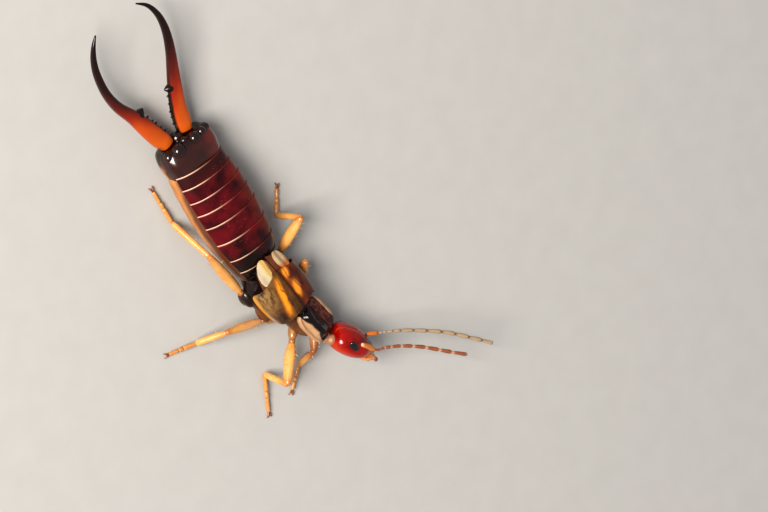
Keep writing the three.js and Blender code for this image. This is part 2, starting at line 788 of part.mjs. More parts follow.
// Hips: a rounded root for each leg, and the room its thigh needs in the body
function thighWay(leg) {
  const hip = vec(leg.hip);
  return { hip, way: vec(leg.knee).sub(hip).normalize() };
}

function withHips(body, names) {
  let solid = body;
  names.forEach((name) => {
    const { hip, way } = thighWay(LEGS[name]);
    const at = hip.addScaledVector(way, -HIP.back);
    const still = new THREE.Quaternion();
    solid = solid.add(egg(at, [HIP.radius, HIP.radius, HIP.radius], still, 12, 8));
  });
  return makeRoom(solid, names);
}

function makeRoom(body, names) {
  let solid = body;
  names.forEach((name) => {
    const { hip, way } = thighWay(LEGS[name]);
    const from = hip.clone().addScaledVector(way, -GAP);
    const to = hip.clone().addScaledVector(way, HIP.reach);
    const r = LEGS[name].stout + THIN_GAP;
    const rows = [[0, r * 0.9, r * 0.9], [0.2, r, r], [0.7, r, r], [1, r, r]];
    solid = solid.subtract(limb(from, to, rows, LIMB_SIDES + 2));
    const s = SHIN_RADIUS + SHIN_ROOM;
    const shinRows = [[0, s, s], [1, s, s]];
    const shin = limb(vec(LEGS[name].knee), vec(LEGS[name].ankle), shinRows, LIMB_SIDES);
    solid = solid.subtract(shin);
  });
  return solid;
}

// Legs: thigh, shin and foot meet along the plane that halves the bend at each joint
function splitPlane(before, joint, after) {
  const a = before.clone().sub(joint).normalize();
  const b = after.clone().sub(joint).normalize();
  return b.sub(a).normalize();
}

function makeLeg(name, leg) {
  const hip = vec(leg.hip);
  const knee = vec(leg.knee);
  const ankle = vec(leg.ankle);
  const toe = vec(leg.toe);
  const kneePlane = splitPlane(hip, knee, ankle);
  const anklePlane = splitPlane(knee, ankle, toe);
  const half = GAP / 2;
  const rows = (profile, width) => profile.map(([t, share]) => [t, share * width, share * width]);
  const thigh = [...rows(THIGH_PROFILE, leg.stout), ...rows(THIGH_ENDS, 1)];
  thigh.sort((a, b) => a[0] - b[0]);
  const stretch = (from, to) => {
    const way = to.clone().sub(from).normalize();
    return to.clone().addScaledVector(way, JOINT_OVERRUN);
  };
  const floorCut = lowCut(0);
  let part = limb(hip, stretch(hip, knee), thigh, LIMB_SIDES);
  part = part.subtract(beyond(knee.clone().addScaledVector(kneePlane, -half), kneePlane));
  addNode(name + '_thigh', part, paint('leg'));
  const shinRows = rows(SHIN_PROFILE, SHIN_RADIUS);
  let shin = limb(stretch(ankle, knee), stretch(knee, ankle), shinRows, LIMB_SIDES);
  const kneeBack = knee.clone().addScaledVector(kneePlane, half);
  shin = shin.subtract(beyond(kneeBack, kneePlane.clone().negate()));
  shin = shin.subtract(beyond(ankle.clone().addScaledVector(anklePlane, -half), anklePlane));
  shin = shin.subtract(floorCut);
  addNode(name + '_shin', shin, paint('leg'));
  const f = FOOT_RADIUS;
  const footRows = [[0, f, f], [0.5, f, f], [0.85, f * 0.9, f * 0.9], [1, TOE_RADIUS, TOE_RADIUS]];
  let foot = limb(stretch(toe, ankle), toe, footRows, LIMB_SIDES);
  const heading = toe.clone().sub(ankle).setZ(0).normalize();
  [1, -1].forEach((side) => {
    const turn = new THREE.Quaternion().setFromAxisAngle(UP, rad(CLAW.spread * side));
    const way = heading.clone().applyQuaternion(turn);
    const root = toe.clone().addScaledVector(heading, -CLAW.root);
    const tip = toe.clone().addScaledVector(way, CLAW.length).setZ(CLAW.radius);
    foot = foot.add(limb(root, tip, rows(CLAW_PROFILE, CLAW.radius), 6));
  });
  const ankleBack = ankle.clone().addScaledVector(anklePlane, half);
  foot = foot.subtract(beyond(ankleBack, anklePlane.clone().negate()));
  foot = foot.subtract(floorCut);
  addNode(name + '_foot', foot, paint('leg'));
}

const hindLegs = ['hind_left', 'hind_right'];
const midLegs = ['middle_left', 'middle_right'];
const frontLegs = ['front_left', 'front_right'];
const wingRoom = wingBlade(1, GAP).add(wingBlade(-1, GAP));
const abdomen = makeRoom(makeAbdomen().subtract(wingRoom), hindLegs);
addNode('abdomen', abdomen, paint('abdomen'));
addNode('last_segment', makeLastSegment(), paint('last'));
addNode('forceps_right', makeForceps(FORCEPS_RIGHT, TEETH_RIGHT, 1), paint('forceps'));
addNode('forceps_left', makeForceps(FORCEPS_LEFT, TEETH_LEFT, -1), paint('forceps'));
addNode('thorax', withHips(makeThorax(), [...hindLegs, ...midLegs]), paint('thorax'));
addNode('prothorax', withHips(makeProthorax(), frontLegs), paint('thorax'));
const caseLeft = makeRoom(makeWingCase(1), ['middle_left', 'hind_left']);
addNode('wing_case_left', caseLeft, paint('wingCase'));
addNode('wing_case_right', makeWingCase(-1), paint('wingCase'));
addNode('wing_left', makeWingTip(1), paint('wing'));
addNode('wing_right', makeWingTip(-1), paint('wing'));
addNode('shield', makeShield(), paint('shield'));
addNode('neck', makeRoom(makeNeck(), ['front_left']), paint('neck'));
addNode('head', makeHead(), paint('head'));
addNode('eye_left', makeEye(1, 0), paint('eye'));
addNode('eye_right', makeEye(-1, 0), paint('eye'));
addNode('jaws', makeJaws(), paint('jaw'));
addNode('feeler_left', makeFeeler(FEELER_LEFT), paint('feeler'));
addNode('feeler_right', makeFeeler(FEELER_RIGHT), paint('feeler'));
Object.entries(LEGS).forEach(([name, leg]) => makeLeg(name, leg));

// The origin is under the middle of the whole animal, on the floor
const box = new THREE.Box3().setFromObject(earwig);
const middle = box.getCenter(new THREE.Vector3());
earwig.children.forEach((node) => {
  node.geometry.translate(-middle.x, -middle.y, -box.min.z);
});

export default earwig;
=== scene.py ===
# %% [markdown]
# # An earwig at life size
# This lesson dresses a small solid model of an earwig in Blender. The model stands on the floor
# with its head towards -Y, its forceps towards +Y and its left side towards +X. The solids give
# places and sizes. The pieces made here give the fine forms and finishes: plates, rims, joints,
# claws, bristles.

import math
import random

import bpy
from mathutils import Matrix, Vector


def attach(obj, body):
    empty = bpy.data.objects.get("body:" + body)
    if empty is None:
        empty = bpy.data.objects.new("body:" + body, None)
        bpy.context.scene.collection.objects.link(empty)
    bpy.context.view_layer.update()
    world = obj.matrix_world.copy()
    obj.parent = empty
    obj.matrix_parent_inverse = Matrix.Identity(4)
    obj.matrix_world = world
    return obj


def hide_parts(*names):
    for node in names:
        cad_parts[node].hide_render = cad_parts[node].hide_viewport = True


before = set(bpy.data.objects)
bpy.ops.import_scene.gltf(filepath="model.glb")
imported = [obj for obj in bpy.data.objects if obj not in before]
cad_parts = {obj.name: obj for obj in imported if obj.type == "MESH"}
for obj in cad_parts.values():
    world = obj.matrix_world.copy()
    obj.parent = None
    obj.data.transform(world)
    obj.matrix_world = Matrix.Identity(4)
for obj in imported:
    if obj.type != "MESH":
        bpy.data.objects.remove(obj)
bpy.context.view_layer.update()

# %% [markdown]
# ## Working in millimetres
# An earwig is 26 mm long, and Blender's tools work best on shapes about one unit across. So each
# piece is modelled with one unit for one millimetre, and its places are read from a point near the
# hind end of the wing cases. A finished piece is shrunk to life size, moved under the frame's
# origin, and both are applied, so that its place is in its mesh.

# %% Units, and finishing a piece
MILLIMETRE = 0.001
MIDDLE = Vector((1.518, -1.178, 0.0))
UP = Vector((0, 0, 1))


def unselect():
    """Nothing is selected, so that the next tool acts on one piece only."""
    if bpy.context.object and bpy.context.object.mode == "EDIT":
        bpy.ops.object.mode_set(mode="OBJECT")
    bpy.ops.object.select_all(action="DESELECT")


def take(piece):
    """One piece is selected and active."""
    unselect()
    piece.select_set(True)
    bpy.context.view_layer.objects.active = piece


def settle(piece, finish, slot, *nodes):
    """A finished piece wears its finish, shrinks to life size and stands for its solids."""
    take(piece)
    piece.data.materials.clear()
    piece.data.materials.append(finish.material)
    bpy.ops.object.transform_apply(location=True, rotation=True, scale=True)
    piece.scale = (MILLIMETRE,) * 3
    piece.location = -MIDDLE * MILLIMETRE
    bpy.ops.object.transform_apply(location=True, rotation=True, scale=True)
    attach(piece, "root")
    if nodes:
        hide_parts(*nodes)
    print(piece.name, len(piece.data.polygons), "faces")

# %% [markdown]
# ## The camera and the floor
# The animal is seen from behind its right side and from above, and the camera is rolled so that
# its head points to the lower right. A long lens from far away keeps near and far parts at one
# scale, as a close-up lens does on an animal this small.

# %% Camera
RIGHTWARD = Vector((0.687, -0.4285, 0.5866)).normalized()
BACKWARD = Vector((-0.4198, 0.4249, 0.8020)).normalized()
UPWARD = BACKWARD.cross(RIGHTWARD).normalized()
VIEW_CENTRE = Vector((0.004702, -0.005962, 0.0014))
IMAGE_WIDTH = 768
PIXELS_PER_MILLIMETRE = 21.5
LENS = 1000.0
SENSOR = 36.0

unselect()
bpy.ops.object.camera_add()
camera = bpy.context.object
camera.name = "photo_camera"
camera.data.lens = LENS
camera.data.sensor_width = SENSOR
camera.data.clip_start, camera.data.clip_end = 0.001, 100.0
distance = IMAGE_WIDTH / PIXELS_PER_MILLIMETRE * MILLIMETRE * LENS / SENSOR
facing = Matrix((RIGHTWARD, UPWARD, BACKWARD)).transposed().to_4x4()
camera.matrix_world = Matrix.Translation(VIEW_CENTRE + BACKWARD * distance) @ facing
bpy.context.scene.camera = camera
print("camera distance", round(distance, 3), "m")

# %% Floor
FLOOR_HALF = 1.5

unselect()
bpy.ops.mesh.primitive_plane_add(size=2 * FLOOR_HALF, location=(0, 0, 0))
floor = bpy.context.object
floor.name = "floor"

# %% [markdown]
# ## Soft studio light
# One broad lamp hangs above the right side of the animal, a little behind it: it makes the round
# gleams on the last segment and on the head. A dim sky fills the shadows. Broad lamps straight
# above would lay a milky veil on the dark shells, so there are none.

# %% Lamp and sky
LAMP_AT = Vector((-0.17, 0.11, 0.16))

unselect()
bpy.ops.object.light_add(type="AREA", location=LAMP_AT)
lamp = bpy.context.object
lamp.name = "key_lamp"
lamp.data.size = 0.11
lamp.data.energy = 1.2
lamp.data.color = (1.0, 0.95, 0.88)
lamp.rotation_euler = LAMP_AT.to_track_quat("Z", "Y").to_euler()
sky = bpy.data.worlds.new("studio")
sky.use_nodes = True
sky_light = sky.node_tree.nodes["Background"]
sky_light.inputs["Color"].default_value = (0.95, 0.96, 1.0, 1.0)
sky_light.inputs["Strength"].default_value = 0.36
bpy.context.scene.world = sky
print("one lamp of", lamp.data.energy, "W, and a sky")
develop = bpy.context.scene.view_settings
develop.view_transform, develop.look = "Standard", "Medium High Contrast"

# %% [markdown]
# ## Shader maths as plain sums
# A finish is a small chain of nodes. The first class below wraps one socket, so that sums on it
# add Math nodes. The second holds a material, and one of its methods makes any other node.
# Patterns are read in millimetres from the same point as the shapes, so a stripe can be put where
# a rim is.

# %% A socket that can be added and multiplied


class Value:
    """A number, colour or place that changes over the surface."""

    def __init__(self, finish, socket):
        self.finish = finish
        self.socket = socket

    def math(self, operation, first, second=0.0):
        return self.finish.node("ShaderNodeMath", {"operation": operation}, {0: first, 1: second})

    def __add__(self, other):
        return self.math("ADD", self, other)

    def __sub__(self, other):
        return self.math("SUBTRACT", self, other)

    def __rsub__(self, other):
        return self.math("SUBTRACT", other, self)

    def __mul__(self, other):
        return self.math("MULTIPLY", self, other)

    __radd__, __rmul__ = __add__, __mul__

    def at_least(self, other):
        return self.math("MAXIMUM", self, other)

    def size(self):
        return self.math("ABSOLUTE", self)

    def wave(self):
        return self.math("SINE", self)

# %% A material and its nodes


class Finish:
    """A material: its even values are set at once, its uneven ones are linked by paint."""

    def __init__(self, name, **even):
        self.material = bpy.data.materials.new(name)
        self.material.use_nodes = True
        self.tree = self.material.node_tree
        self.shader = self.tree.nodes["Principled BSDF"]
        self.place = None
        self.paint(**even)

    def put(self, socket, value):
        """A link or a plain value goes into a socket."""
        if isinstance(value, Value):
            self.tree.links.new(value.socket, socket)
        else:
            socket.default_value = value

    def node(self, kind, settings=None, values=None, out=0):
        """Any node: its settings first, then its sockets, and one of its outputs comes back."""
        made = self.tree.nodes.new(kind)
        for key, value in (settings or {}).items():
            if key == "stops":
                stops = made.color_ramp.elements
                while len(stops) < len(value):
                    stops.new(0.5)
                for stop, (at, colour) in zip(stops, value):
                    stop.position = at
                    stop.color = (*colour, 1.0)
            else:
                setattr(made, key, value)
        for key, value in (values or {}).items():
            self.put(made.inputs[key], value)
        return Value(self, made.outputs[out])

    def vector(self, operation, values, out=0):
        """A sum on places or ways."""
        return self.node("ShaderNodeVectorMath", {"operation": operation}, values, out)

    def spot(self):
        """The place on the piece in millimetres."""
        if self.place is None:
            read = self.node("ShaderNodeTexCoord", out=3)
            grown = self.vector("SCALE", {0: read, "Scale": 1 / MILLIMETRE})
            self.place = self.vector("ADD", {0: grown, 1: tuple(MIDDLE)})
        return self.place

    def axis(self, index):
        """One coordinate of the place: 0 across, 1 along, 2 up."""
        return self.node("ShaderNodeSeparateXYZ", None, {0: self.spot()}, out=index)

    def band(self, value, low, high):
        """0 at low, 1 at high, and smooth between them."""
        values = {"Value": value, "From Min": low, "From Max": high}
        return self.node("ShaderNodeMapRange", {"interpolation_type": "SMOOTHSTEP"}, values)

    def mix(self, share, first, second):
        """A colour between two colours."""
        fill = lambda c: c if isinstance(c, Value) else (*c, 1.0)
        values = {0: share, 6: fill(first), 7: fill(second)}
        return self.node("ShaderNodeMix", {"data_type": "RGBA"}, values, out=2)

    def noise(self, scale, detail=3.0, stretch=None):
        """Cloudy blotches, so many to a millimetre, drawn out along an axis where asked."""
        where = self.spot()
        if stretch:
            where = self.vector("MULTIPLY", {0: where, 1: stretch})
        values = {"Vector": where, "Scale": scale, "Detail": detail}
        return self.node("ShaderNodeTexNoise", None, values)

    def dots(self, scale, reach):
        """Small round dots: 1 in a dot, 0 between dots. Reach is a share of their spacing."""
        far = self.node("ShaderNodeTexVoronoi", None, {"Vector": self.spot(), "Scale": scale})
        return 1 - self.band(far, reach * 0.4, reach)

    def near(self, at, reach, stretch=(1, 1, 1)):
        """1 at a place, fading to 0 at a distance in millimetres."""
        away = self.vector("SUBTRACT", {0: self.spot(), 1: at})
        away = self.vector("MULTIPLY", {0: away, 1: stretch})
        return 1 - self.band(self.vector("LENGTH", {0: away}, 1), 0.0, reach)

    def read(self, name):
        """A number that the piece carries in its mesh."""
        return self.node("ShaderNodeAttribute", {"attribute_name": name}, out=2)

    def relief(self, height, depth):
        """Bumps of a depth in millimetres."""
        values = {"Height": height, "Strength": 1.0, "Distance": depth * MILLIMETRE}
        self.paint(Normal=self.node("ShaderNodeBump", None, values))

    def ground(self, share, first, second):
        """The first coat of colour is a blend of two."""
        self.base = self.mix(share, first, second)
        self.paint(Base_Color=self.base)

    def over(self, share, colour):
        """One more colour lies over those before it, as thick as its share."""
        self.ground(share, self.base, colour)

    def paint(self, **values):
        """Values go to the shader's sockets."""
        for key, value in values.items():
            self.put(self.shader.inputs[key.replace("_", " ")], value)

# %% Finish of the floor
card = Finish("pale_card", Roughness=0.85)
card.ground(card.noise(0.8, 4.0), (0.40, 0.39, 0.375), (0.44, 0.43, 0.415))
floor.data.materials.append(card.material)

# %% [markdown]
# ## Growing a part ring by ring
# Most parts of an insect are tubes that swell, narrow and bend. By hand, one would draw a circle
# and extrude it again and again, and move, turn and size each new ring. The helper does just that.
# The 3D cursor is laid in each ring, so the ring is turned and sized along its own axes.

# %% Rings
cursor = bpy.context.scene.cursor
cursor.rotation_mode = "QUATERNION"


def turned(heading, top=UP):
    """Axes of a ring: across, above, and along the heading."""
    along = heading.normalized()
    across = top.cross(along).normalized()
    return Matrix((across, along.cross(across), along)).transposed()


def aim(at, turn):
    """The cursor is laid in a ring."""
    cursor.location = at
    cursor.rotation_quaternion = turn.to_quaternion()


def swing(angle, axis, at):
    """The selection turns about an axis through a point."""
    side = axis.orthogonal().normalized()
    aim(at, Matrix((side, axis.cross(side), axis)).transposed())
    bpy.ops.transform.rotate(
        value=-angle, orient_axis="Z", orient_type="CURSOR", center_override=at
    )


def grow(name, rings, sides=24, square=0.0, top=UP):
    """A closed tube: each ring is its centre, heading, half width and half height."""
    unselect()
    bpy.ops.mesh.primitive_circle_add(
        vertices=sides, radius=1, fill_type="NGON", location=(0, 0, 0)
    )
    piece = bpy.context.object
    piece.name = name
    bpy.ops.object.mode_set(mode="EDIT")
    if square:
        widen_corners(piece, square)
    bpy.ops.mesh.select_all(action="SELECT")
    at, turn, wide, high = Vector(), Matrix.Identity(3), 1.0, 1.0
    for step, (centre, heading, half_width, half_height) in enumerate(rings):
        shift = centre - at
        if step:
            bpy.ops.mesh.extrude_region_move(TRANSFORM_OT_translate={"value": shift})
        else:
            bpy.ops.transform.translate(value=shift)
        facing = turned(heading, top)
        axis, angle = (facing @ turn.inverted()).to_quaternion().to_axis_angle()
        if abs(angle) > 1e-6:
            swing(angle, axis, centre)
        aim(centre, facing)
        bpy.ops.transform.resize(
            value=(half_width / wide, half_height / high, 1),
            orient_type="CURSOR",
            center_override=centre,
        )
        at, turn, wide, high = centre, facing, half_width, half_height
    bpy.ops.object.mode_set(mode="OBJECT")
    return piece


def widen_corners(piece, square):
    """A circle swells along its diagonals, towards a rounded square."""
    for reach in range(41, 2, -4):
        pick(piece, "VERT", lambda point: abs(off_diagonal(point.co)) < reach)
        amount = 1 + square * 0.1
        bpy.ops.transform.resize(value=(amount, amount, 1), center_override=(0, 0, 0))


def off_diagonal(point):
    """Degrees between a point on the circle and the nearest diagonal."""
    return math.degrees(math.atan2(point.y, point.x)) % 90 - 45

# %% [markdown]
# ## Picking, changing and marking
# A maker clicks on points and faces. A script picks them by a test on their place instead.
# Modifiers are applied at once, so that the next step works on real points. A mark is a number
# that each point carries for the finish, and it stays with its point through deleting, walls and
# subdivision.

# %% Picking points and faces by their place


def pick(piece, kind, wanted):
    """In edit mode, the points or faces that fit a test are selected and the rest are not."""
    if piece.mode == "OBJECT":
        take(piece)
        bpy.ops.object.mode_set(mode="EDIT")
    bpy.ops.mesh.select_mode(type=kind)
    bpy.ops.mesh.select_all(action="DESELECT")
    bpy.ops.object.mode_set(mode="OBJECT")
    for item in piece.data.vertices if kind == "VERT" else piece.data.polygons:
        item.select = bool(wanted(item))
    bpy.ops.object.mode_set(mode="EDIT")

# %% Modifiers, joining and marking


def change(piece, kind, **settings):
    """A modifier is added, set and applied."""
    take(piece)
    made = piece.modifiers.new(kind.lower(), kind)
    for key, value in settings.items():
        setattr(made, key, value)
    bpy.ops.object.modifier_apply(modifier=made.name)


def smooth(piece, levels=1, angle=None):
    """Subdivision rounds the form, and soft shading hides its facets."""
    if levels:
        change(piece, "SUBSURF", levels=levels, render_levels=levels)
    take(piece)
    if angle is None:
        bpy.ops.object.shade_smooth()
    else:
        bpy.ops.object.shade_smooth_by_angle(angle=math.radians(angle))


def join(pieces, name):
    """Several meshes become one piece."""
    unselect()
    for piece in pieces:
        piece.select_set(True)
    bpy.context.view_layer.objects.active = pieces[0]
    if len(pieces) > 1:
        bpy.ops.object.join()
    pieces[0].name = name
    return pieces[0]


def mark(piece, name, amount):
    """Each point of the mesh carries a number, worked out from its index and place."""
    store = piece.data.attributes.new(name, "FLOAT", "POINT")
    for index, (point, item) in enumerate(zip(piece.data.vertices, store.data)):
        item.value = amount(index, point.co)


def outward(piece):
    """The faces of a closed piece are turned to point outwards."""
    take(piece)
    bpy.ops.object.mode_set(mode="EDIT")
    bpy.ops.mesh.select_all(action="SELECT")
    bpy.ops.mesh.normals_make_consistent(inside=False)
    bpy.ops.object.mode_set(mode="OBJECT")


def ball(name, at, radii, turn=None):
    """An egg-shaped knob: a divided cube is pressed round, then sized, turned and placed."""
    unselect()
    bpy.ops.mesh.primitive_cube_add(size=2, location=(0, 0, 0))
    made = bpy.context.object
    made.name = name
    bpy.ops.object.mode_set(mode="EDIT")
    bpy.ops.mesh.subdivide(number_cuts=7)
    bpy.ops.transform.tosphere(value=1.0)
    bpy.ops.object.mode_set(mode="OBJECT")
    made.scale = [2 * radius / size for radius, size in zip(radii, made.dimensions)]
    bpy.ops.object.transform_apply(location=False, rotation=False, scale=True)
    if turn:
        made.rotation_mode = "QUATERNION"
        made.rotation_quaternion = turn.to_quaternion()
    made.location = at
    bpy.ops.object.transform_apply(location=True, rotation=True, scale=False)
    return made

# %% [markdown]
# ## Tables of the body
# The body is measured as rings along Y: where the ring's middle is, how wide it is, and how far it
# reaches above and below its axis. A ring anywhere between two rows is read from a smooth curve.

# %% Reading a table


def between(rows, at):
    """The values at a station of a table, on a smooth curve through its rows."""
    last = len(rows) - 2
    i = 0
    while i < last and at > rows[i + 1][0]:
        i += 1
    a, b = rows[i], rows[i + 1]
    before, after = rows[max(i - 1, 0)], rows[min(i + 2, last + 1)]
    span = b[0] - a[0]
    t = (at - a[0]) / span
    result = []
    for k in range(1, len(a)):
        if t < 0 or t > 1:
            result.append(a[k] + (b[k] - a[k]) * t)
            continue
        slope_a = (b[k] - before[k]) / (b[0] - before[0]) * span
        slope_b = (after[k] - a[k]) / (after[0] - a[0]) * span
        h = t * t * (3 - 2 * t)
        bend = slope_a * t * (1 - t) ** 2 - slope_b * t * t * (1 - t)
        result.append(a[k] * (1 - h) + b[k] * h + bend)
    return result


def body_ring(rows, y, grown=0.0):
    """One ring of a body table, made larger or smaller all round."""
    x, z, half, above, below = between(rows, y)
    ahead, behind = between(rows, y + 0.1)[0], between(rows, y - 0.1)[0]
    heading = Vector((ahead - behind, 0.2, 0))
    centre = Vector((x, y, z + (above - below) / 2))
    return centre, heading, half + grown, (above + below) / 2 + grown


def steps(start, end, count):
    """Even steps from start to end."""
    return [start + (end - start) * i / count for i in range(count + 1)]

# %% [markdown]
# Forceps, feelers and jaws bend in all three directions, so a table along one axis can't hold
# them. Their rings follow a smooth curve through a few places instead, with even steps along it.

# %% Reading a path


def curve_points(points, count):
    """Evenly spaced places and headings on a smooth curve through points."""
    points = [Vector(p) for p in points]
    fine = []
    for i in range(len(points) - 1):
        p0, p1 = points[max(i - 1, 0)], points[i]
        p2, p3 = points[i + 1], points[min(i + 2, len(points) - 1)]
        for t in steps(0, 1, 24)[:-1]:
            bend = (2 * p0 - 5 * p1 + 4 * p2 - p3) * t * t
            bend += (3 * p1 - p0 - 3 * p2 + p3) * t**3
            fine.append(0.5 * (2 * p1 + (p2 - p0) * t + bend))
    fine.append(points[-1])
    run = [0.0]
    for a, b in zip(fine, fine[1:]):
        run.append(run[-1] + (b - a).length)
    places = []
    k = 0
    for want in steps(0.0, run[-1], count):
        while k < len(run) - 2 and run[k + 1] < want:
            k += 1
        share = (want - run[k]) / (run[k + 1] - run[k])
        places.append(fine[k].lerp(fine[k + 1], share))
    headings = [places[min(i + 1, count)] - places[max(i - 1, 0)] for i in range(count + 1)]
    return places, headings


def path_rings(rows, count):
    """Rings along a path whose rows are x, y, z, half width and half height."""
    places, headings = curve_points([row[:3] for row in rows], count)
    run = [0.0]
    for a, b in zip(rows, rows[1:]):
        run.append(run[-1] + (Vector(b[:3]) - Vector(a[:3])).length)
    table = [[r / run[-1], row[3], row[4]] for r, row in zip(run, rows)]
    rings = []
    for i, (place, heading) in enumerate(zip(places, headings)):
        wide, high = between(table, i / count)
        rings.append((place, heading, max(wide, 0.02), max(high, 0.02)))
    return rings

# %% [markdown]
# ## Abdomen
# The abdomen is a row of hard back plates that slide under each other like roof tiles. Each plate
# could be a piece of its own. Here one tube is grown with a small step at each hind edge, because
# the plates never part in this pose. Its rings also carry where the pale rims are, and the finish
# reads that number. The faces below the free edge are deleted, and the rest gets a thin wall, so
# that the plates end along each side over a softer belly.

# %% Abdomen plates
ABDOMEN = [
    [-3.3, 0.22, 1.45, 1.04, 0.55, 0.85],
    [-2.74, 0.15, 1.5, 1.24, 0.78, 1.02],
    [-1.96, 0.1, 1.5, 1.45, 1.0, 1.1],
    [-0.94, 0.03, 1.45, 1.61, 1.12, 1.12],
    [0.06, 0.0, 1.4, 1.69, 1.15, 1.12],
    [0.79, -0.03, 1.35, 1.71, 1.15, 1.08],
    [1.51, -0.05, 1.3, 1.69, 1.12, 1.04],
    [2.23, -0.08, 1.22, 1.64, 1.06, 0.97],
    [2.94, -0.1, 1.16, 1.56, 1.0, 0.91],
]
HIND_EDGES = [-3.75, -3.2, -2.68, -1.86, -0.83, 0.18, 0.93, 1.65, 2.37, 3.02]
PLATE_STEP = 0.026
PLATE_SIDES = 80
TUCK = 0.07
RIM = 0.04
# The plates lie a little slanted: further back on the right side
SLANT = math.tan(math.radians(4.5))
# How high up the side the plates end, as a share of the ring's height
FREE_EDGE = 0.37
PLATE_WALL = 0.05


def plate_rings():
    """Rings of all plates: the table's ring there, and whether it is rim."""
    rings = []
    for front, hind in zip(HIND_EDGES, HIND_EDGES[1:]):
        length = hind - front
        pale = 0 if front == HIND_EDGES[0] else 1
        for y, grown, rim in (
            (front - TUCK, -PLATE_STEP * 1.7, 0),
            (front + 0.02, -PLATE_STEP * 1.2, 0),
            (front + length * 0.3, -PLATE_STEP * 0.55, 0),
            (front + length * 0.7, -PLATE_STEP * 0.1, 0),
            (hind - RIM - 0.02, 0.0, 0),
            (hind - RIM, 0.0, pale),
            (hind - 0.015, -0.002, pale),
            (hind, -0.014, pale),
        ):
            centre, heading, wide, high = body_ring(ABDOMEN, y, grown)
            heading += Vector((0.2 * SLANT, 0, 0))
            rings.append(((centre, heading, wide, high), rim))
    return rings


def below_free_edge(face):
    """A face of the tube that the real plates leave open, or an end of the tube."""
    x, z, half, above, below = between(ABDOMEN, face.center.y)
    share = (face.center.z - z - (above - below) / 2) / ((above + below) / 2)
    return share < FREE_EDGE or len(face.vertices) > 4


rings = plate_rings()
plates = grow("abdomen_plates", [ring for ring, rim in rings], PLATE_SIDES, 0.04)
mark(plates, "rim", lambda index, at: rings[min(index // PLATE_SIDES, len(rings) - 1)][1])
pick(plates, "FACE", below_free_edge)
bpy.ops.mesh.delete(type="FACE")
bpy.ops.object.mode_set(mode="OBJECT")
change(plates, "SOLIDIFY", thickness=PLATE_WALL, offset=-1.0)
outward(plates)
smooth(plates)

# %% [markdown]
# The shell is dark oxblood red, almost black towards the wings and redder along the left side. Its
# rims are thin and pale, with a painted highlight that makes them brightest on the right of the
# back, and fine pits beside them carry painted glints.

# %% Finish of the plates
oxblood = Finish("abdomen_shell", Coat_Weight=0.1, Coat_Roughness=0.15, Specular_IOR_Level=0.22)
x, y = oxblood.axis(0), oxblood.axis(1)
cloud = oxblood.noise(1.3, 4.0)
oxblood.ground(oxblood.band(cloud, 0.3, 0.7), (0.020, 0.001, 0.002), (0.10, 0.003, 0.006))
# Redder on the left side, darker at the front and at the hind end
oxblood.over(oxblood.band(x + cloud * 0.8, 0.9, 1.8), (0.15, 0.017, 0.006))
oxblood.over(oxblood.band(y + cloud * 0.8, -0.6, -2.2), (0.007, 0.003, 0.002))
oxblood.over(oxblood.band(y + cloud * 0.6, 2.2, 3.2), (0.03, 0.005, 0.005))
# Fine pits: sunk by the relief, and their pale reddish dots are painted glints
pits_and_painted_glints = oxblood.dots(7.5, 0.2) * oxblood.band(oxblood.noise(0.9), 0.5, 0.62)
oxblood.over(pits_and_painted_glints * 0.5, (0.4, 0.14, 0.1))
# Painted highlight on the pale rims: brightest on the right of the back, towards the lamp, and dull
# red on the left
painted_rim_highlight = oxblood.band(x + oxblood.noise(2.5) * 0.8, 0.9, -0.7)
pale = oxblood.mix(painted_rim_highlight, (0.24, 0.05, 0.022), (0.70, 0.46, 0.34))
oxblood.over(oxblood.read("rim") * (0.25 + painted_rim_highlight * 0.6), pale)
oxblood.relief(oxblood.noise(14.0, 2.0) - pits_and_painted_glints * 1.5, 0.006)
oxblood.paint(Roughness=0.22 + cloud * 0.16)
settle(plates, oxblood, "abdomen", "abdomen")

# %% [markdown]
# ## Belly
# Under the free edge of the back plates the side of the belly bulges a little, and it is tan
# there. It is one more tube, set lower and a touch wider, with a shallow waist at each segment.

# %% Belly and flanks
BELLY_TOP_GAP = 0.12
WAIST = 0.03
BELLY_SIDES = 56


def belly_ring(y, grown):
    """A ring of the belly: as wide as the back, and a gap lower than the plates on top."""
    centre, heading, wide, high = body_ring(ABDOMEN, y)
    centre.z -= BELLY_TOP_GAP / 2
    return centre, heading, wide - 0.03 + grown, high - BELLY_TOP_GAP / 2 + grown


rings = [belly_ring(HIND_EDGES[0], -0.1)]
for front, hind in zip(HIND_EDGES, HIND_EDGES[1:]):
    rings.append(belly_ring(front + 0.04, -WAIST))
    rings.append(belly_ring(front + (hind - front) * 0.5, 0.0))
    rings.append(belly_ring(hind - 0.03, -WAIST * 0.4))
rings.append(belly_ring(HIND_EDGES[-1] + 0.15, -0.12))
belly = grow("abdomen_belly", rings, BELLY_SIDES, 0.05)
smooth(belly)

# %% Finish of the belly
tan = Finish("belly_skin", Roughness=0.36, Coat_Weight=0.15)
cloud = tan.noise(1.8, 4.0)
z = tan.axis(2)
tan.ground(cloud, (0.34, 0.12, 0.03), (0.52, 0.24, 0.08))
# Painted shade under the free edge of the plates, and darker towards the front and underneath
tan.over(tan.band(z + cloud * 0.25, 1.45, 1.75), (0.10, 0.03, 0.012))
tan.over(tan.band(tan.axis(1), -1.6, -2.9), (0.09, 0.035, 0.016))
tan.over(tan.band(z + cloud * 0.3, 0.9, 0.4), (0.13, 0.035, 0.012))
tan.relief(tan.noise(10.0, 2.0), 0.008)
settle(belly, tan, "abdomen")

# %% [markdown]
# ## Last segment
# The last segment is a broad polished block, and the forceps hinge on its hind face. Round bosses
# stand along its hind edge. One could remesh block and bosses into one skin, as clay is pressed
# together. Here the bosses are balls sunk deep into the block and joined to it, because a remesh
# leaves ridges that a polished shell shows.

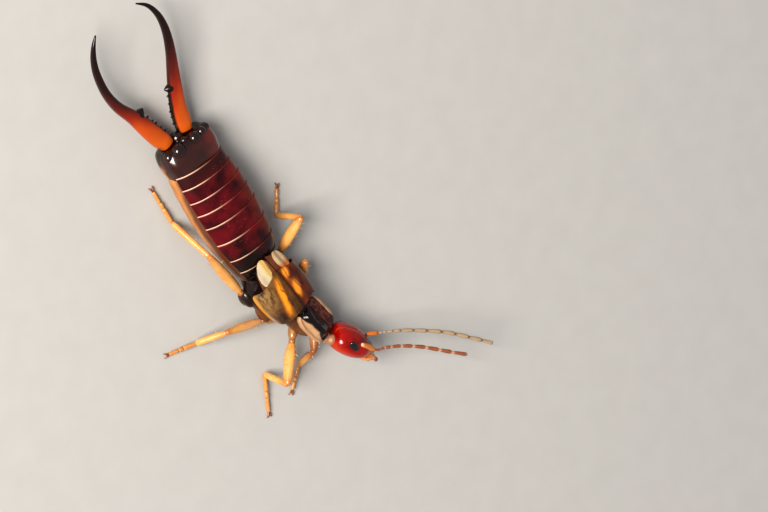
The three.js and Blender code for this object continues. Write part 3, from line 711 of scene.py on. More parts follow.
# %% Last segment
LAST = [
    [2.7, -0.1, 1.18, 1.38, 0.84, 0.8],
    [3.0, -0.1, 1.16, 1.44, 0.88, 0.84],
    [3.3, -0.1, 1.13, 1.49, 0.93, 0.86],
    [3.62, -0.11, 1.11, 1.52, 0.96, 0.86],
    [3.95, -0.12, 1.08, 1.49, 0.9, 0.83],
    [4.22, -0.13, 1.05, 1.4, 0.8, 0.78],
    [4.4, -0.13, 1.03, 1.24, 0.66, 0.66],
]
# x, y, z, radius across and along, radius up
BOSSES = [
    [-0.78, 4.17, 1.72, 0.36, 0.31],
    [0.24, 4.2, 1.76, 0.32, 0.29],
    [-1.25, 4.1, 1.44, 0.29, 0.28],
    [0.74, 4.2, 1.68, 0.25, 0.25],
    [1.1, 4.12, 1.47, 0.26, 0.24],
    [-0.24, 4.38, 1.6, 0.19, 0.19],
    [-0.2, 4.42, 1.0, 0.32, 0.34],
]
rings = [body_ring(LAST, y) for y in steps(LAST[0][0], LAST[-1][0], 14)]
block = grow("last_segment", rings, 56, 0.12)
bosses = [ball("boss", (x, y, z), (r, r, up)) for x, y, z, r, up in BOSSES]
last_segment = join([block, *bosses], "last_segment_shell")
smooth(last_segment)

# %% Finish of the last segment
polish = Finish("last_segment_gloss", Roughness=0.2, Coat_Weight=0.3, Coat_Roughness=0.05)
x, y = polish.axis(0), polish.axis(1)
cloud = polish.noise(1.6, 4.0)
polish.ground(cloud, (0.012, 0.004, 0.003), (0.045, 0.009, 0.006))
polish.over(polish.band(x + cloud * 0.6, 0.4, 1.5), (0.11, 0.014, 0.007))
# Tan low on the right side, and black along the hind edge
low = polish.band(polish.axis(2) + cloud * 0.2, 1.3, 1.1)
low = low * polish.band(y + cloud * 0.2, 4.0, 3.6) * polish.band(x, -1.0, -1.2)
polish.over(low, (0.34, 0.13, 0.035))
polish.over(polish.band(y + cloud * 0.2, 4.05, 4.35), (0.012, 0.004, 0.003))
polish.relief(polish.noise(2.5, 2.0), 0.02)
settle(last_segment, polish, "last_segment", "last_segment")

# %% [markdown]
# ## Forceps
# Each arm is a flat, broad blade at its root that thins into a long hooked rod. Its inner edge is
# black and toothed near the root, with one large tooth. The arm is grown along its path, and each
# tooth is a short cone grown out of the inner side. Rings carry how far along the arm they are and
# how near the inner edge, and the horn's colour follows both.

# %% Forceps
# x, y, z, half width, half height
FORCEPS = {
    "right": [
        [-0.80, 4.42, 1.05, 0.36, 0.3],
        [-0.88, 4.72, 1.05, 0.42, 0.33],
        [-1.03, 5.0, 1.05, 0.46, 0.31],
        [-1.34, 5.75, 1.12, 0.44, 0.27],
        [-1.78, 6.8, 1.2, 0.34, 0.25],
        [-2.27, 7.75, 1.3, 0.26, 0.24],
        [-2.55, 8.75, 1.45, 0.21, 0.21],
        [-2.58, 9.82, 1.6, 0.18, 0.18],
        [-2.45, 10.61, 1.75, 0.145, 0.145],
        [-2.18, 11.25, 1.9, 0.1, 0.1],
        [-1.86, 11.68, 2.0, 0.035, 0.035],
    ],
    "left": [
        [0.36, 4.42, 1.05, 0.37, 0.3],
        [0.42, 4.72, 1.05, 0.42, 0.33],
        [0.49, 5.0, 1.05, 0.46, 0.31],
        [0.58, 5.61, 1.1, 0.43, 0.29],
        [0.84, 6.48, 1.2, 0.38, 0.27],
        [1.16, 7.46, 1.35, 0.3, 0.25],
        [1.37, 8.18, 1.5, 0.245, 0.23],
        [1.56, 8.91, 1.6, 0.21, 0.21],
        [1.62, 9.67, 1.75, 0.18, 0.18],
        [1.55, 10.39, 1.85, 0.145, 0.145],
        [1.25, 11.1, 1.95, 0.1, 0.1],
        [0.73, 11.59, 2.0, 0.035, 0.035],
    ],
}
# Share of the length, size: the last is the large tooth
TEETH = {
    "right": [[0.07, 0.7], [0.11, 0.6], [0.15, 0.7], [0.19, 0.6], [0.235, 0.75], [0.29, 1.6]],
    "left": [[0.08, 0.7], [0.12, 0.6], [0.16, 0.7], [0.21, 0.65], [0.25, 0.8], [0.297, 1.4]],
}
TOOTH = {"radius": 0.14, "height": 0.17, "root": 0.35}
TOOTH_PROFILE = ((0, 1.5), (0.45, 1.15), (0.75, 0.7), (0.95, 0.3), (1, 0.1))
ARM_STEPS = 64
ARM_SIDES = 28

# %% Finish of the forceps
horn = Finish("forceps_horn", Roughness=0.2, Coat_Weight=0.15, Coat_Roughness=0.1)
horn.paint(Specular_IOR_Level=0.3)
along, inner = horn.read("along"), horn.read("inner")
cloud = horn.noise(1.5, 3.0, (1, 0.5, 1))
share = along + horn.band(inner, 0.3, 0.95) * 0.12 + (cloud - 0.5) * 0.08
stops = [
    (0.0, (0.44, 0.09, 0.005)),
    (0.24, (0.38, 0.055, 0.004)),
    (0.36, (0.22, 0.017, 0.003)),
    (0.5, (0.075, 0.008, 0.004)),
    (0.66, (0.016, 0.004, 0.003)),
    (1.0, (0.006, 0.003, 0.003)),
]
amber = horn.node("ShaderNodeValToRGB", {"stops": stops}, {0: share})
black_edge = horn.band(inner + (cloud - 0.5) * 0.1, 0.9, 0.985) * horn.band(along, 0.5, 0.3)
horn.ground(black_edge, amber, (0.010, 0.004, 0.003))
horn.relief(horn.noise(8.0, 3.0, (1, 0.3, 1)), 0.006)

# %% Two arms
for side, inward in (("right", 1), ("left", -1)):
    rings = path_rings(FORCEPS[side], ARM_STEPS)
    arm = grow("forceps_arm", rings, ARM_SIDES, 0.06)
    # How far a point lies towards the other arm: 0 on the outer edge, 1 on the inner one
    mark(arm, "along", lambda index, at: index // ARM_SIDES / ARM_STEPS)

    def inwardness(index, at):
        centre, heading, wide, high = rings[min(index // ARM_SIDES, ARM_STEPS)]
        return 0.5 + 0.5 * inward * (at.x - centre.x) / wide + (0.06 if inward > 0 else 0)

    mark(arm, "inner", inwardness)
    parts = [arm]
    for share, size in TEETH[side]:
        centre, heading, wide, high = rings[round(share * ARM_STEPS)]
        across = UP.cross(heading).normalized()
        across *= 1 if across.x * inward > 0 else -1
        base = centre + across * wide * TOOTH["root"]
        tip = centre + across * (wide + TOOTH["height"] * size)
        root = TOOTH["radius"] * size
        tooth = [(base.lerp(tip, t), tip - base, root * r, root * r) for t, r in TOOTH_PROFILE]
        parts.append(grow("tooth", tooth, 12))
        mark(parts[-1], "along", lambda index, at: 0.3)
        mark(parts[-1], "inner", lambda index, at: 1.0)
    arm = join(parts, "forceps_arm_" + side)
    smooth(arm)
    settle(arm, horn, "forceps", "forceps_" + side)

# %% [markdown]
# ## Thorax
# Under the wing cases the thorax is a low box of brown plates that carries the legs. Each leg's
# hip is a polished, swollen cone set in its side, and the hind one on the right shows as a black
# gleam.

# %% Thorax and first segment
THORAX = [
    [-6.2, 0.86, 1.15, 0.9, 0.7, 0.5],
    [-5.7, 0.72, 1.12, 1.2, 0.78, 0.6],
    [-5.0, 0.53, 1.1, 1.36, 0.8, 0.62],
    [-4.2, 0.36, 1.08, 1.36, 0.78, 0.6],
    [-3.58, 0.26, 1.1, 1.15, 0.7, 0.55],
    [-3.1, 0.22, 1.2, 0.9, 0.55, 0.6],
]
PROTHORAX = [
    [-7.7, 1.37, 1.25, 0.4, 0.32, 0.32],
    [-7.62, 1.34, 1.2, 0.56, 0.44, 0.42],
    [-7.3, 1.23, 1.15, 0.74, 0.5, 0.48],
    [-6.8, 1.04, 1.15, 0.8, 0.52, 0.48],
    [-6.3, 0.9, 1.15, 0.8, 0.5, 0.45],
    [-6.0, 0.82, 1.15, 0.6, 0.4, 0.4],
]
CHEST_WAIST = 0.05


def chest_rings(rows, count, waists):
    """Rings with a shallow waist wherever two plates meet."""
    rings = []
    for y in steps(rows[0][0], rows[-1][0], count):
        pinch = max(0.0, 1 - min(abs(y - w) for w in waists) / 0.09)
        rings.append(body_ring(rows, y, -CHEST_WAIST * pinch))
    return rings


# Swollen side plates above the middle and hind hips: place, radii and turn about Z
SIDE_PLATES = [
    ((-0.93, -4.35, 1.02), (0.28, 0.5, 0.32), 4),
    ((1.62, -4.2, 1.0), (0.28, 0.5, 0.32), 12),
    ((-0.66, -5.5, 1.02), (0.22, 0.5, 0.24), 12),
    ((1.86, -5.3, 1.0), (0.22, 0.46, 0.26), 12),
]

thorax = grow("thorax_plates", chest_rings(THORAX, 34, (-5.1, -4.0)), 44, 0.06)
smooth(thorax)
side_plates = [
    ball("side_plate", at, radii, Matrix.Rotation(math.radians(turn), 3, "Z"))
    for at, radii, turn in SIDE_PLATES
]
thorax = join([thorax, *side_plates], "thorax_plates")
smooth(thorax, 0)
first_segment = grow("first_segment", chest_rings(PROTHORAX, 20, (-6.75,)), 40, 0.06)
smooth(first_segment)

# %% Finish of the thorax
chest = Finish("thorax_shell", Coat_Weight=0.3, Coat_Roughness=0.08, Specular_IOR_Level=0.3)
cloud = chest.noise(1.6, 4.0)
chest.ground(cloud, (0.045, 0.014, 0.006), (0.17, 0.06, 0.017))
chest.over(chest.band(chest.axis(1) + cloud * 0.4, -4.9, -4.3), (0.010, 0.004, 0.003))
chest.relief(chest.noise(9.0, 3.0), 0.012)
chest.paint(Roughness=0.22 + cloud * 0.2)
settle(thorax, chest, "thorax", "thorax")
settle(first_segment, chest, "thorax", "prothorax")

# %% [markdown]
# ## Wing cases
# The wing cases are two short, horny, half-clear shells. One arched tube is grown over the back
# for each, and planes cut away its front, its underside, the far side of the seam and the hind
# end. Some slanted cuts round the corners. A wall is given afterwards, so the shell is thin and
# hollow as the real one is.

# %% Cutting a shell
WING_CASES = [
    [-6.3, 0.9, 1.4, 1.08, 1.1, 0.7],
    [-5.6, 0.69, 1.4, 1.26, 1.2, 0.7],
    [-5.0, 0.53, 1.4, 1.33, 1.25, 0.7],
    [-4.2, 0.36, 1.4, 1.33, 1.25, 0.7],
    [-3.4, 0.25, 1.42, 1.22, 1.2, 0.7],
    [-2.9, 0.2, 1.45, 1.1, 1.12, 0.7],
    [-2.1, 0.12, 1.45, 0.9, 1.05, 0.7],
]
SEAM_FRONT = Vector((0.72, -5.9, 0))
SEAM_BACK = Vector((0.27, -3.28, 0))
HIND_CORNER = {"right": Vector((-0.97, -4.05, 0)), "left": Vector((1.42, -3.72, 0))}
HIND_MIDDLE = Vector((0.25, -3.38, 0))
FORWARD = Vector((math.sin(math.radians(17)), -math.cos(math.radians(17)), 0))
CASE_FRONT = Vector((0.62, -5.8, 0))
CASE_LOW = 1.45
DOWN = Vector((0, 0, -1))
SIGN = {"right": -1, "left": 1}


def cut(piece, point, normal):
    """The shell is cut along a plane, and the side that the normal points to goes."""
    take(piece)
    bpy.ops.object.mode_set(mode="EDIT")
    bpy.ops.mesh.select_all(action="SELECT")
    bpy.ops.mesh.bisect(plane_co=point, plane_no=normal, use_fill=False, clear_outer=True)
    bpy.ops.object.mode_set(mode="OBJECT")


def round_corner(piece, corner, first, second, radius):
    """Slanted cuts round off the corner where two cuts meet."""
    middle = corner - (first + second) * radius
    for share in (0.2, 0.4, 0.6, 0.8):
        normal = (first * (1 - share) + second * share).normalized()
        cut(piece, middle + normal * radius, normal)


def seam_side(side):
    """The way from the seam towards the other half of the shell."""
    along = (SEAM_BACK - SEAM_FRONT).normalized()
    return along.cross(UP) * SIGN[side] * -1


def hind_way(side):
    """The way backwards, square to the hind edge of a wing case."""
    along = HIND_MIDDLE - HIND_CORNER[side]
    way = Vector((-along.y, along.x, 0)).normalized()
    return way if way.y > 0 else -way


def wall(piece, thickness, edge):
    """The open shell gets its wall, and its edges are softened."""
    change(piece, "SOLIDIFY", thickness=thickness, offset=-1.0)
    outward(piece)
    limit = math.radians(50)
    change(piece, "BEVEL", width=edge, segments=2, limit_method="ANGLE", angle_limit=limit)
    smooth(piece, 1, 60)

# %% Wing cases
cases = {}
for side in ("right", "left"):
    rings = [body_ring(WING_CASES, y) for y in steps(-6.3, -2.6, 40)]
    case = grow("wing_case_shell_" + side, rings, 96, 0.08)
    cut(case, CASE_FRONT, FORWARD)
    cut(case, Vector((0, 0, CASE_LOW)), DOWN)
    cut(case, SEAM_FRONT - seam_side(side) * 0.015, seam_side(side))
    cut(case, HIND_CORNER[side], hind_way(side))
    low_corner = HIND_CORNER[side] + UP * CASE_LOW
    round_corner(case, low_corner, hind_way(side), DOWN, 0.5)
    round_corner(case, HIND_MIDDLE, hind_way(side), seam_side(side), 0.16)
    wall(case, 0.07, 0.02)
    cases[side] = case

# %% [markdown]
# The shells are amber-brown and half clear. Dark veins fan out from the front, orange light comes
# through beside the seam, and the right one turns olive and yellow towards its outer edge. The
# patches are soft spots at places on the shell, and the veins are waves bent by noise.

# %% Finish of the wing cases
for side in ("right", "left"):
    shell = Finish("wing_case_horn_" + side, Coat_Weight=0.15, Coat_Roughness=0.12)
    shell.paint(Specular_IOR_Level=0.3)
    cloud = shell.noise(1.8, 5.0, (1, 0.5, 1))
    fine = shell.noise(6.0, 4.0, (1, 0.6, 1))
    blotch = shell.band(cloud, 0.3, 0.7)
    x, y, z = (shell.axis(k) for k in range(3))
    # How far from the seam, in millimetres
    off = (x - 0.27 + (y + 3.28) * 0.172) * SIGN[side]
    if side == "right":
        shell.ground(blotch, (0.022, 0.007, 0.002), (0.15, 0.06, 0.013))
        # An olive patch, a streak of orange light, a yellow lower edge, and dark spots in front
        olive = shell.near((-0.78, -4.3, 2.1), 1.1, (1, 0.7, 1)) * shell.band(fine, 0.25, 0.65)
        shell.over(olive, (0.27, 0.16, 0.06))
        streak = (off - 0.45 + (y + 4.2) * 0.22 + (cloud - 0.5) * 0.2).size()
        streak = shell.band(streak, 0.25, 0.0) * shell.band(y + cloud * 0.6, -3.1, -3.9)
        streak = streak * (0.55 + fine) * shell.band(y + cloud, -5.6, -4.6)
        shell.over(streak, (0.78, 0.26, 0.012))
        shell.over(shell.band(z + cloud * 0.2, 2.05, 1.8), (0.56, 0.27, 0.035))
        spots = shell.near((-0.35, -5.75, 2.0), 0.8) * shell.band(fine, 0.42, 0.56)
        shell.over(spots, (0.02, 0.009, 0.005))
    else:
        shell.ground(blotch, (0.06, 0.009, 0.002), (0.27, 0.06, 0.006))
        # Two patches of orange light beside the seam, and a redder outer edge
        glow = shell.near((0.78, -4.75, 2.5), 0.62, (1.9, 0.8, 1))
        glow = glow.at_least(shell.near((0.62, -3.75, 2.5), 0.5, (1.6, 1, 1)))
        shell.over(shell.band(glow * (0.5 + fine), 0.0, 0.75), (0.76, 0.26, 0.02))
        shell.over(shell.band(z + cloud * 0.2, 2.1, 1.85) * 0.6, (0.42, 0.12, 0.015))
    fan = off * (6.0 + (y + 3.3) * 1.1) + cloud * 3.0
    vein = shell.band(fan.wave().size(), 0.16, 0.0) * shell.band(off, 1.3, 0.9)
    shell.over(vein * 0.6, (0.03, 0.009, 0.004))
    seam_dark = shell.band(off + (fine - 0.5) * 0.15, 0.16, 0.03)
    shell.over(seam_dark * 0.8, (0.04, 0.011, 0.005))
    shell.relief(fine * 0.6 - vein, 0.025)
    shell.paint(Roughness=0.2 + cloud * 0.2)
    settle(cases[side], shell, "wing_case", "wing_case_" + side)

# %% [markdown]
# ## Folded wing tips
# Behind each wing case a cream pad shows: the leathery end of the folded hind wing, on its dark
# brown inner part. Both are cut from the same arch, just inside the case. The pad is trimmed to an
# oval by a ring of cuts, as one would snip it with scissors.

# %% Wing tips
TIP_END = {"right": Vector((0.0, -2.78, 0)), "left": Vector((0.5, -2.68, 0))}
TIP_LOW = 2.28
# Middle of the pad, and the way along it
PAD = {
    "right": (Vector((-0.27, -3.2, 0)), Vector((0.2, 1, 0))),
    "left": (Vector((0.84, -3.18, 0)), Vector((-0.4, 1, 0))),
}
PAD_HALF = {"right": (0.68, 0.32), "left": (0.58, 0.3)}
OVAL_CUTS = 16


def trim_oval(piece, middle, along, half_length, half_width):
    """Upright cuts all round leave an oval."""
    along = along.normalized()
    across = along.cross(UP)
    for i in range(OVAL_CUTS):
        angle = math.tau * i / OVAL_CUTS
        edge = along * math.cos(angle) * half_length + across * math.sin(angle) * half_width
        way = along * math.cos(angle) / half_length + across * math.sin(angle) / half_width
        cut(piece, middle + edge, way.normalized())


for side in ("right", "left"):
    rings = [body_ring(WING_CASES, y, -0.1) for y in steps(-4.9, -2.2, 30)]
    fold = grow("wing_fold", rings, 96, 0.08)
    end_way = Vector((SIGN[side] * 0.4, 1, 0)).normalized()
    cut(fold, Vector((0, 0, TIP_LOW)), DOWN)
    cut(fold, SEAM_FRONT - seam_side(side) * 0.03, seam_side(side))
    cut(fold, TIP_END[side], end_way)
    mark(fold, "pad", lambda index, at: 0.0)
    wall(fold, 0.06, 0.015)
    rings = [body_ring(WING_CASES, y, -0.06) for y in steps(-4.5, -2.2, 30)]
    pad = grow("wing_pad", rings, 96, 0.08)
    cut(pad, Vector((0, 0, CASE_LOW)), DOWN)
    trim_oval(pad, *PAD[side], *PAD_HALF[side])
    mark(pad, "pad", lambda index, at: 1.0)
    wall(pad, 0.07, 0.03)
    tip = join([fold, pad], "wing_pad_" + side)

    cream = Finish("wing_skin_" + side, Roughness=0.4, Subsurface_Weight=0.2)
    cream.paint(Subsurface_Radius=(1.0, 0.6, 0.35), Subsurface_Scale=0.0002)
    cloud = cream.noise(2.5, 4.0, (1, 0.6, 1))
    x, y = cream.axis(0), cream.axis(1)
    off = (x - 0.22 + (y + 2.98) * 0.172) * SIGN[side]
    if side == "right":
        cream.ground(cloud, (0.28, 0.22, 0.14), (0.60, 0.50, 0.34))
        cream.over(cream.band(off + cloud * 0.3, 0.75, 0.5), (0.55, 0.36, 0.12))
        cream.over(cream.band(off + cloud * 0.3, 0.42, 0.28), (0.20, 0.08, 0.02))
    else:
        cream.ground(cloud, (0.30, 0.19, 0.10), (0.58, 0.42, 0.24))
        cream.over(cream.band(off + cloud * 0.3, 0.3, 0.12), (0.18, 0.06, 0.015))
        cream.over(cream.band(y + cloud * 0.4, -3.0, -3.35), (0.40, 0.12, 0.02))
    brown = cream.mix(cloud, (0.035, 0.012, 0.006), (0.20, 0.055, 0.015))
    cream.ground(cream.read("pad"), brown, cream.base)
    cream.relief((off * 16.0 + cloud * 1.5).wave(), 0.02)
    settle(tip, cream, "wing", "wing_" + side)

# %% [markdown]
# ## Frames for parts that lean
# The shield and the head turn and lean away from the body. Each gets a small frame of its own,
# with places given as left, forward and up, so that it can be modelled level and then seated.

# %% A leaning frame


class Seat:
    """A frame with its own turn, lean and pitch."""

    def __init__(self, at, turn, lean, pitch):
        spin = Matrix.Rotation(math.radians(turn), 3, "Z")
        spin = spin @ Matrix.Rotation(math.radians(lean), 3, "Y")
        self.turn = spin @ Matrix.Rotation(math.radians(pitch), 3, "X")
        self.at = Vector(at)

    def place(self, left, forward, up):
        return self.at + self.turn @ Vector((left, -forward, up))

    def seat(self, piece):
        """A piece modelled level at the origin goes to its place."""
        take(piece)
        piece.rotation_mode = "QUATERNION"
        piece.rotation_quaternion = self.turn.to_quaternion()
        piece.location = self.at
        bpy.ops.object.transform_apply(location=True, rotation=True, scale=True)

# %% [markdown]
# ## Shield
# The shield covers the first segment: a black, wrinkled disc inside broad, thin, tan margins. It
# is stacked from rings, as a plate on a potter's wheel, then bent into an arch over the back.
# Points near the sides carry how tan they are.

# %% Shield
shield_seat = Seat((1.14, -6.93, 2.1), 17, 8, 4)
SHIELD_MIDDLE = 0.02
# height, half width, half length
SHIELD_STACK = [
    (-0.13, 0.5, 0.66),
    (-0.11, 0.74, 0.93),
    (-0.03, 0.85, 1.02),
    (0.0, 0.86, 1.03),
    (0.025, 0.85, 1.02),
    (0.03, 0.8, 0.99),
    (0.02, 0.72, 0.94),
    (0.03, 0.62, 0.9),
    (0.09, 0.56, 0.85),
    (0.16, 0.48, 0.77),
    (0.185, 0.36, 0.6),
    (0.18, 0.22, 0.4),
    (0.17, 0.1, 0.2),
    (0.17, 0.03, 0.06),
]
SHIELD_HALF_WIDTH, SHIELD_HALF_LENGTH = 0.86, 1.03
SHIELD_BEND = math.radians(66)

rings = [(Vector((0, -SHIELD_MIDDLE, up)), UP, wide, long) for up, wide, long in SHIELD_STACK]
shield = grow("shield_plate", rings, 72, 0.16, Vector((0, -1, 0)))
smooth(shield)


def tan_amount(index, at):
    """The right margin is broad, the left one narrow, and the front and hind ones thin."""
    side = at.x / SHIELD_HALF_WIDTH
    reach = (side - 0.76) / 0.12 if side > 0 else (-side - 0.6) / 0.12
    ends = (abs(at.y + SHIELD_MIDDLE) / SHIELD_HALF_LENGTH - 0.93) / 0.07
    return min(1.0, max(0.0, reach, ends * 0.5))


mark(shield, "tan", tan_amount)
mark(shield, "left", lambda index, at: at.x)
mark(shield, "back", lambda index, at: at.y)
bend = {"deform_method": "BEND", "deform_axis": "Y", "angle": SHIELD_BEND}
change(shield, "SIMPLE_DEFORM", **bend)
top_of_shield = max(point.co.z for point in shield.data.vertices)
print("shield bends to", [round(v, 2) for v in shield.dimensions], "top", round(top_of_shield, 2))
shield_seat.seat(shield)

# %% Finish of the shield
disc = Finish("shield_shell", Coat_Weight=0.25, Coat_Roughness=0.08, Specular_IOR_Level=0.3)
cloud = disc.noise(2.2, 4.0)
folds = disc.noise(2.8, 5.0, (1, 0.6, 1))
left = disc.band(disc.read("left") + cloud * 0.5, 0.1, 0.6)
disc.ground(left, (0.006, 0.002, 0.002), (0.035, 0.008, 0.006))
ridges = disc.band((folds - 0.5).size(), 0.05, 0.0)
disc.over(ridges * left * 0.35, (0.20, 0.06, 0.04))
margin = disc.band(disc.read("tan") + (cloud - 0.5) * 0.5, 0.3, 0.7)
pale = disc.mix(cloud, (0.26, 0.12, 0.05), (0.55, 0.34, 0.19))
pale = disc.mix(disc.band(disc.read("back"), -0.72, -0.98), pale, (0.16, 0.04, 0.02))
disc.over(margin, pale)
disc.relief(folds * (1 - margin * 0.7), 0.12)
disc.paint(Roughness=0.16 + margin * 0.25)
settle(shield, disc, "shield", "shield")

# %% [markdown]
# ## Neck
# The neck is soft, tan skin in folds between the shield and the head, and redder towards the head.
# It is grown as a short tube whose rings swell and pinch.

# %% Neck
head_seat = Seat((2.26, -9.06, 1.75), 41.7, 52, 5)
NECK_BACK = Vector((1.02, -7.74, 1.4))
NECK_FOLDS = 4
NECK_FOLD_DEPTH = 0.03
NECK_WIDE, NECK_HIGH = 0.25, 0.23

neck_front = head_seat.place(-0.28, -0.78, -0.1)
along = (neck_front - NECK_BACK).normalized()
rings = []
for t in steps(0.0, 1.0, 24):
    fold = NECK_FOLD_DEPTH * math.sin(t * math.tau * NECK_FOLDS)
    rings.append((NECK_BACK.lerp(neck_front, t), along, NECK_WIDE + fold, NECK_HIGH + fold))
neck = grow("neck_folds", rings, 40)
smooth(neck)

# %% Finish of the neck
soft = Finish("neck_skin", Roughness=0.38, Subsurface_Weight=0.25)
soft.paint(Subsurface_Radius=(1.0, 0.5, 0.3), Subsurface_Scale=0.0003)
cloud = soft.noise(3.0, 4.0)
soft.ground(cloud, (0.20, 0.09, 0.04), (0.46, 0.28, 0.16))
soft.over(soft.near(tuple(neck_front), 0.9) * cloud, (0.30, 0.06, 0.03))
soft.relief(soft.noise(9.0, 3.0), 0.02)
settle(neck, soft, "neck", "neck")

# %% [markdown]
# ## Head
# The head is a smooth, blood-red capsule, broad at the eyes and narrow at the mouth. It is grown
# from its hind rim to its front. A shallow seam runs along its crown and parts towards the
# feelers. Each point carries where it lies on the head, so that the finish can follow the seams,
# the cheeks and the dark face.

# %% Head
HEAD = [
    [-1.0, 0.4, 0.34, 0.33],
    [-0.94, 0.56, 0.46, 0.43],
    [-0.78, 0.73, 0.57, 0.52],
    [-0.55, 0.85, 0.645, 0.57],
    [-0.28, 0.915, 0.68, 0.6],
    [0.1, 0.935, 0.69, 0.61],
    [0.48, 0.88, 0.64, 0.57],
    [0.82, 0.76, 0.53, 0.49],
    [1.1, 0.6, 0.42, 0.4],
    [1.3, 0.44, 0.3, 0.31],
    [1.36, 0.3, 0.2, 0.22],
]
HEAD_SIDES = 64
HEAD_STEPS = 36
CROWN_SEAM_DEPTH = 0.035


def level_ring(rows, forward):
    """A ring of a table that runs along the head, level and facing forward."""
    half, above, below = between(rows, forward)
    centre = Vector((0, -forward, (above - below) / 2))
    return centre, Vector((0, -1, 0)), half, (above + below) / 2


rings = [level_ring(HEAD, forward) for forward in steps(HEAD[0][0], HEAD[-1][0], HEAD_STEPS)]
head = grow("head_capsule", rings, HEAD_SIDES)
# The crown seam is pressed in along the middle of the hind half
pick(head, "VERT", lambda p: abs(p.co.x) < 0.05 and p.co.z > 0.2 and -0.1 < p.co.y < 0.8)
bpy.ops.transform.translate(value=(0, 0, -CROWN_SEAM_DEPTH))
bpy.ops.object.mode_set(mode="OBJECT")
smooth(head)
mark(head, "left", lambda index, at: at.x)
mark(head, "forward", lambda index, at: -at.y)
mark(head, "up", lambda index, at: at.z)
head_seat.seat(head)

# %% Finish of the head
blood = Finish("head_shell", Coat_Weight=0.12, Coat_Roughness=0.06, Specular_IOR_Level=0.35)
cloud = blood.noise(1.6, 4.0)
left, forward, up = (blood.read(name) for name in ("left", "forward", "up"))
blood.ground(blood.band(cloud, 0.3, 0.7), (0.13, 0.001, 0.001), (0.33, 0.006, 0.002))
cheek = blood.band(up + cloud * 0.5, 0.4, -0.1) * blood.band(forward + cloud * 0.4, 0.9, 0.2)
blood.over(cheek, (0.42, 0.034, 0.005))
# The seams run along the crown and part towards the feelers
seam = (left.size() - (forward - 0.05).at_least(0.0) * 0.9).size()
seam = blood.band(seam + cloud * 0.03, 0.1, 0.02) * blood.band(forward, 0.55, 0.3)
seam = seam * blood.band(up, 0.1, 0.4)
blood.over(seam * 0.5, (0.52, 0.07, 0.01))
face = blood.band(forward + cloud * 0.3, 0.55, 1.0)
blood.over(face * blood.band(left + cloud * 0.2, -0.65, -0.35), (0.045, 0.006, 0.004))
lip = blood.band(forward + cloud * 0.2, 0.75, 1.05)
blood.over(lip * blood.band(left + cloud * 0.2, -0.35, -0.6), (0.50, 0.14, 0.03))
blood.relief(blood.noise(6.0, 2.0) * 0.4 - seam, 0.02)
blood.paint(Roughness=0.15 + cloud * 0.1)
settle(head, blood, "head", "head")

# %% [markdown]
# ## Eyes
# Each eye is a black oval of very many facets, almost flush with the head. A divided cube is
# pressed round and flattened, and a dense net of tiny bumps stands for the facets. The left one
# sits a little lower, because the camera must not see it.

# %% Eyes
EYE_RADII = (0.125, 0.46, 0.22)
EYE_AT = {"left": (0.785, -0.1, 0.08), "right": (-0.79, -0.1, 0.22)}
EYE_TILT = Matrix.Rotation(math.radians(31), 3, "X")

ommatidia = Finish("eye_facets", Roughness=0.15, Coat_Weight=0.4, Coat_Roughness=0.05)
facets = ommatidia.dots(42.0, 0.6)
ommatidia.relief(facets, 0.003)
ommatidia.ground(facets, (0.004, 0.003, 0.003), (0.012, 0.007, 0.006))
for side in ("left", "right"):
    across, forward, above = EYE_AT[side]
    eye = ball("eye_globe_" + side, (across, -forward, above), EYE_RADII, EYE_TILT)
    smooth(eye, 0)
    head_seat.seat(eye)
    settle(eye, ommatidia, "eye", "eye_" + side)

# %% [markdown]
# ## Mouth parts
# In front of the face come a rounded lip, a pair of dark-tipped jaws that close from the sides,
# and two pairs of feeler-like palps of a few joints each. Each is grown along its own bent path in
# the head's frame, and they are joined into one piece.

# %% Mouth parts
# left, forward, up, half width, half height for one side
JAW_PATH = [
    [0.3, 1.22, -0.1, 0.16, 0.14],
    [0.33, 1.4, -0.14, 0.15, 0.12],
    [0.26, 1.62, -0.18, 0.11, 0.09],
    [0.1, 1.78, -0.2, 0.06, 0.05],
    [0.02, 1.82, -0.2, 0.03, 0.03],
]
LONG_PALP = [
    [0.46, 0.9, -0.34, 0.09, 0.09],
    [0.53, 1.15, -0.3, 0.09, 0.09],
    [0.5, 1.4, -0.2, 0.09, 0.09],
    [0.42, 1.66, -0.15, 0.1, 0.1],
    [0.34, 1.86, -0.26, 0.1, 0.1],
    [0.3, 1.95, -0.36, 0.06, 0.06],
]
SHORT_PALP = [
    [0.16, 1.2, -0.34, 0.08, 0.08],
    [0.2, 1.45, -0.46, 0.07, 0.07],
    [0.18, 1.7, -0.56, 0.05, 0.05],
]


def mouth_limb(path, sign, joints):
    """A limb of the mouth on one side, pinched where its joints meet."""
    rows = [[sign * left, -forward, up, wide, high] for left, forward, up, wide, high in path]
    count = joints * 8
    rings = []
    for i, (place, heading, wide, high) in enumerate(path_rings(rows, count)):
        local = (i % 8) / 8
        pinch = 0.72 if joints > 1 and local == 0 and 0 < i < count else 1.0
        rings.append((place, heading, wide * pinch, high * pinch))
    return grow("mouth_limb", rings, 16)


lip = ball("lip", (0, -1.42, 0.0), (0.3, 0.24, 0.13))
chin = ball("chin", (0, -1.3, -0.3), (0.3, 0.34, 0.15))
parts = [lip, chin]
for sign in (1, -1):
    parts.append(mouth_limb(JAW_PATH, sign, 1))
    parts.append(mouth_limb(LONG_PALP, sign, 4))
    parts.append(mouth_limb(SHORT_PALP, sign, 2))
jaws = join(parts, "mouth_parts")
smooth(jaws)
mark(jaws, "forward", lambda index, at: -at.y)
head_seat.seat(jaws)

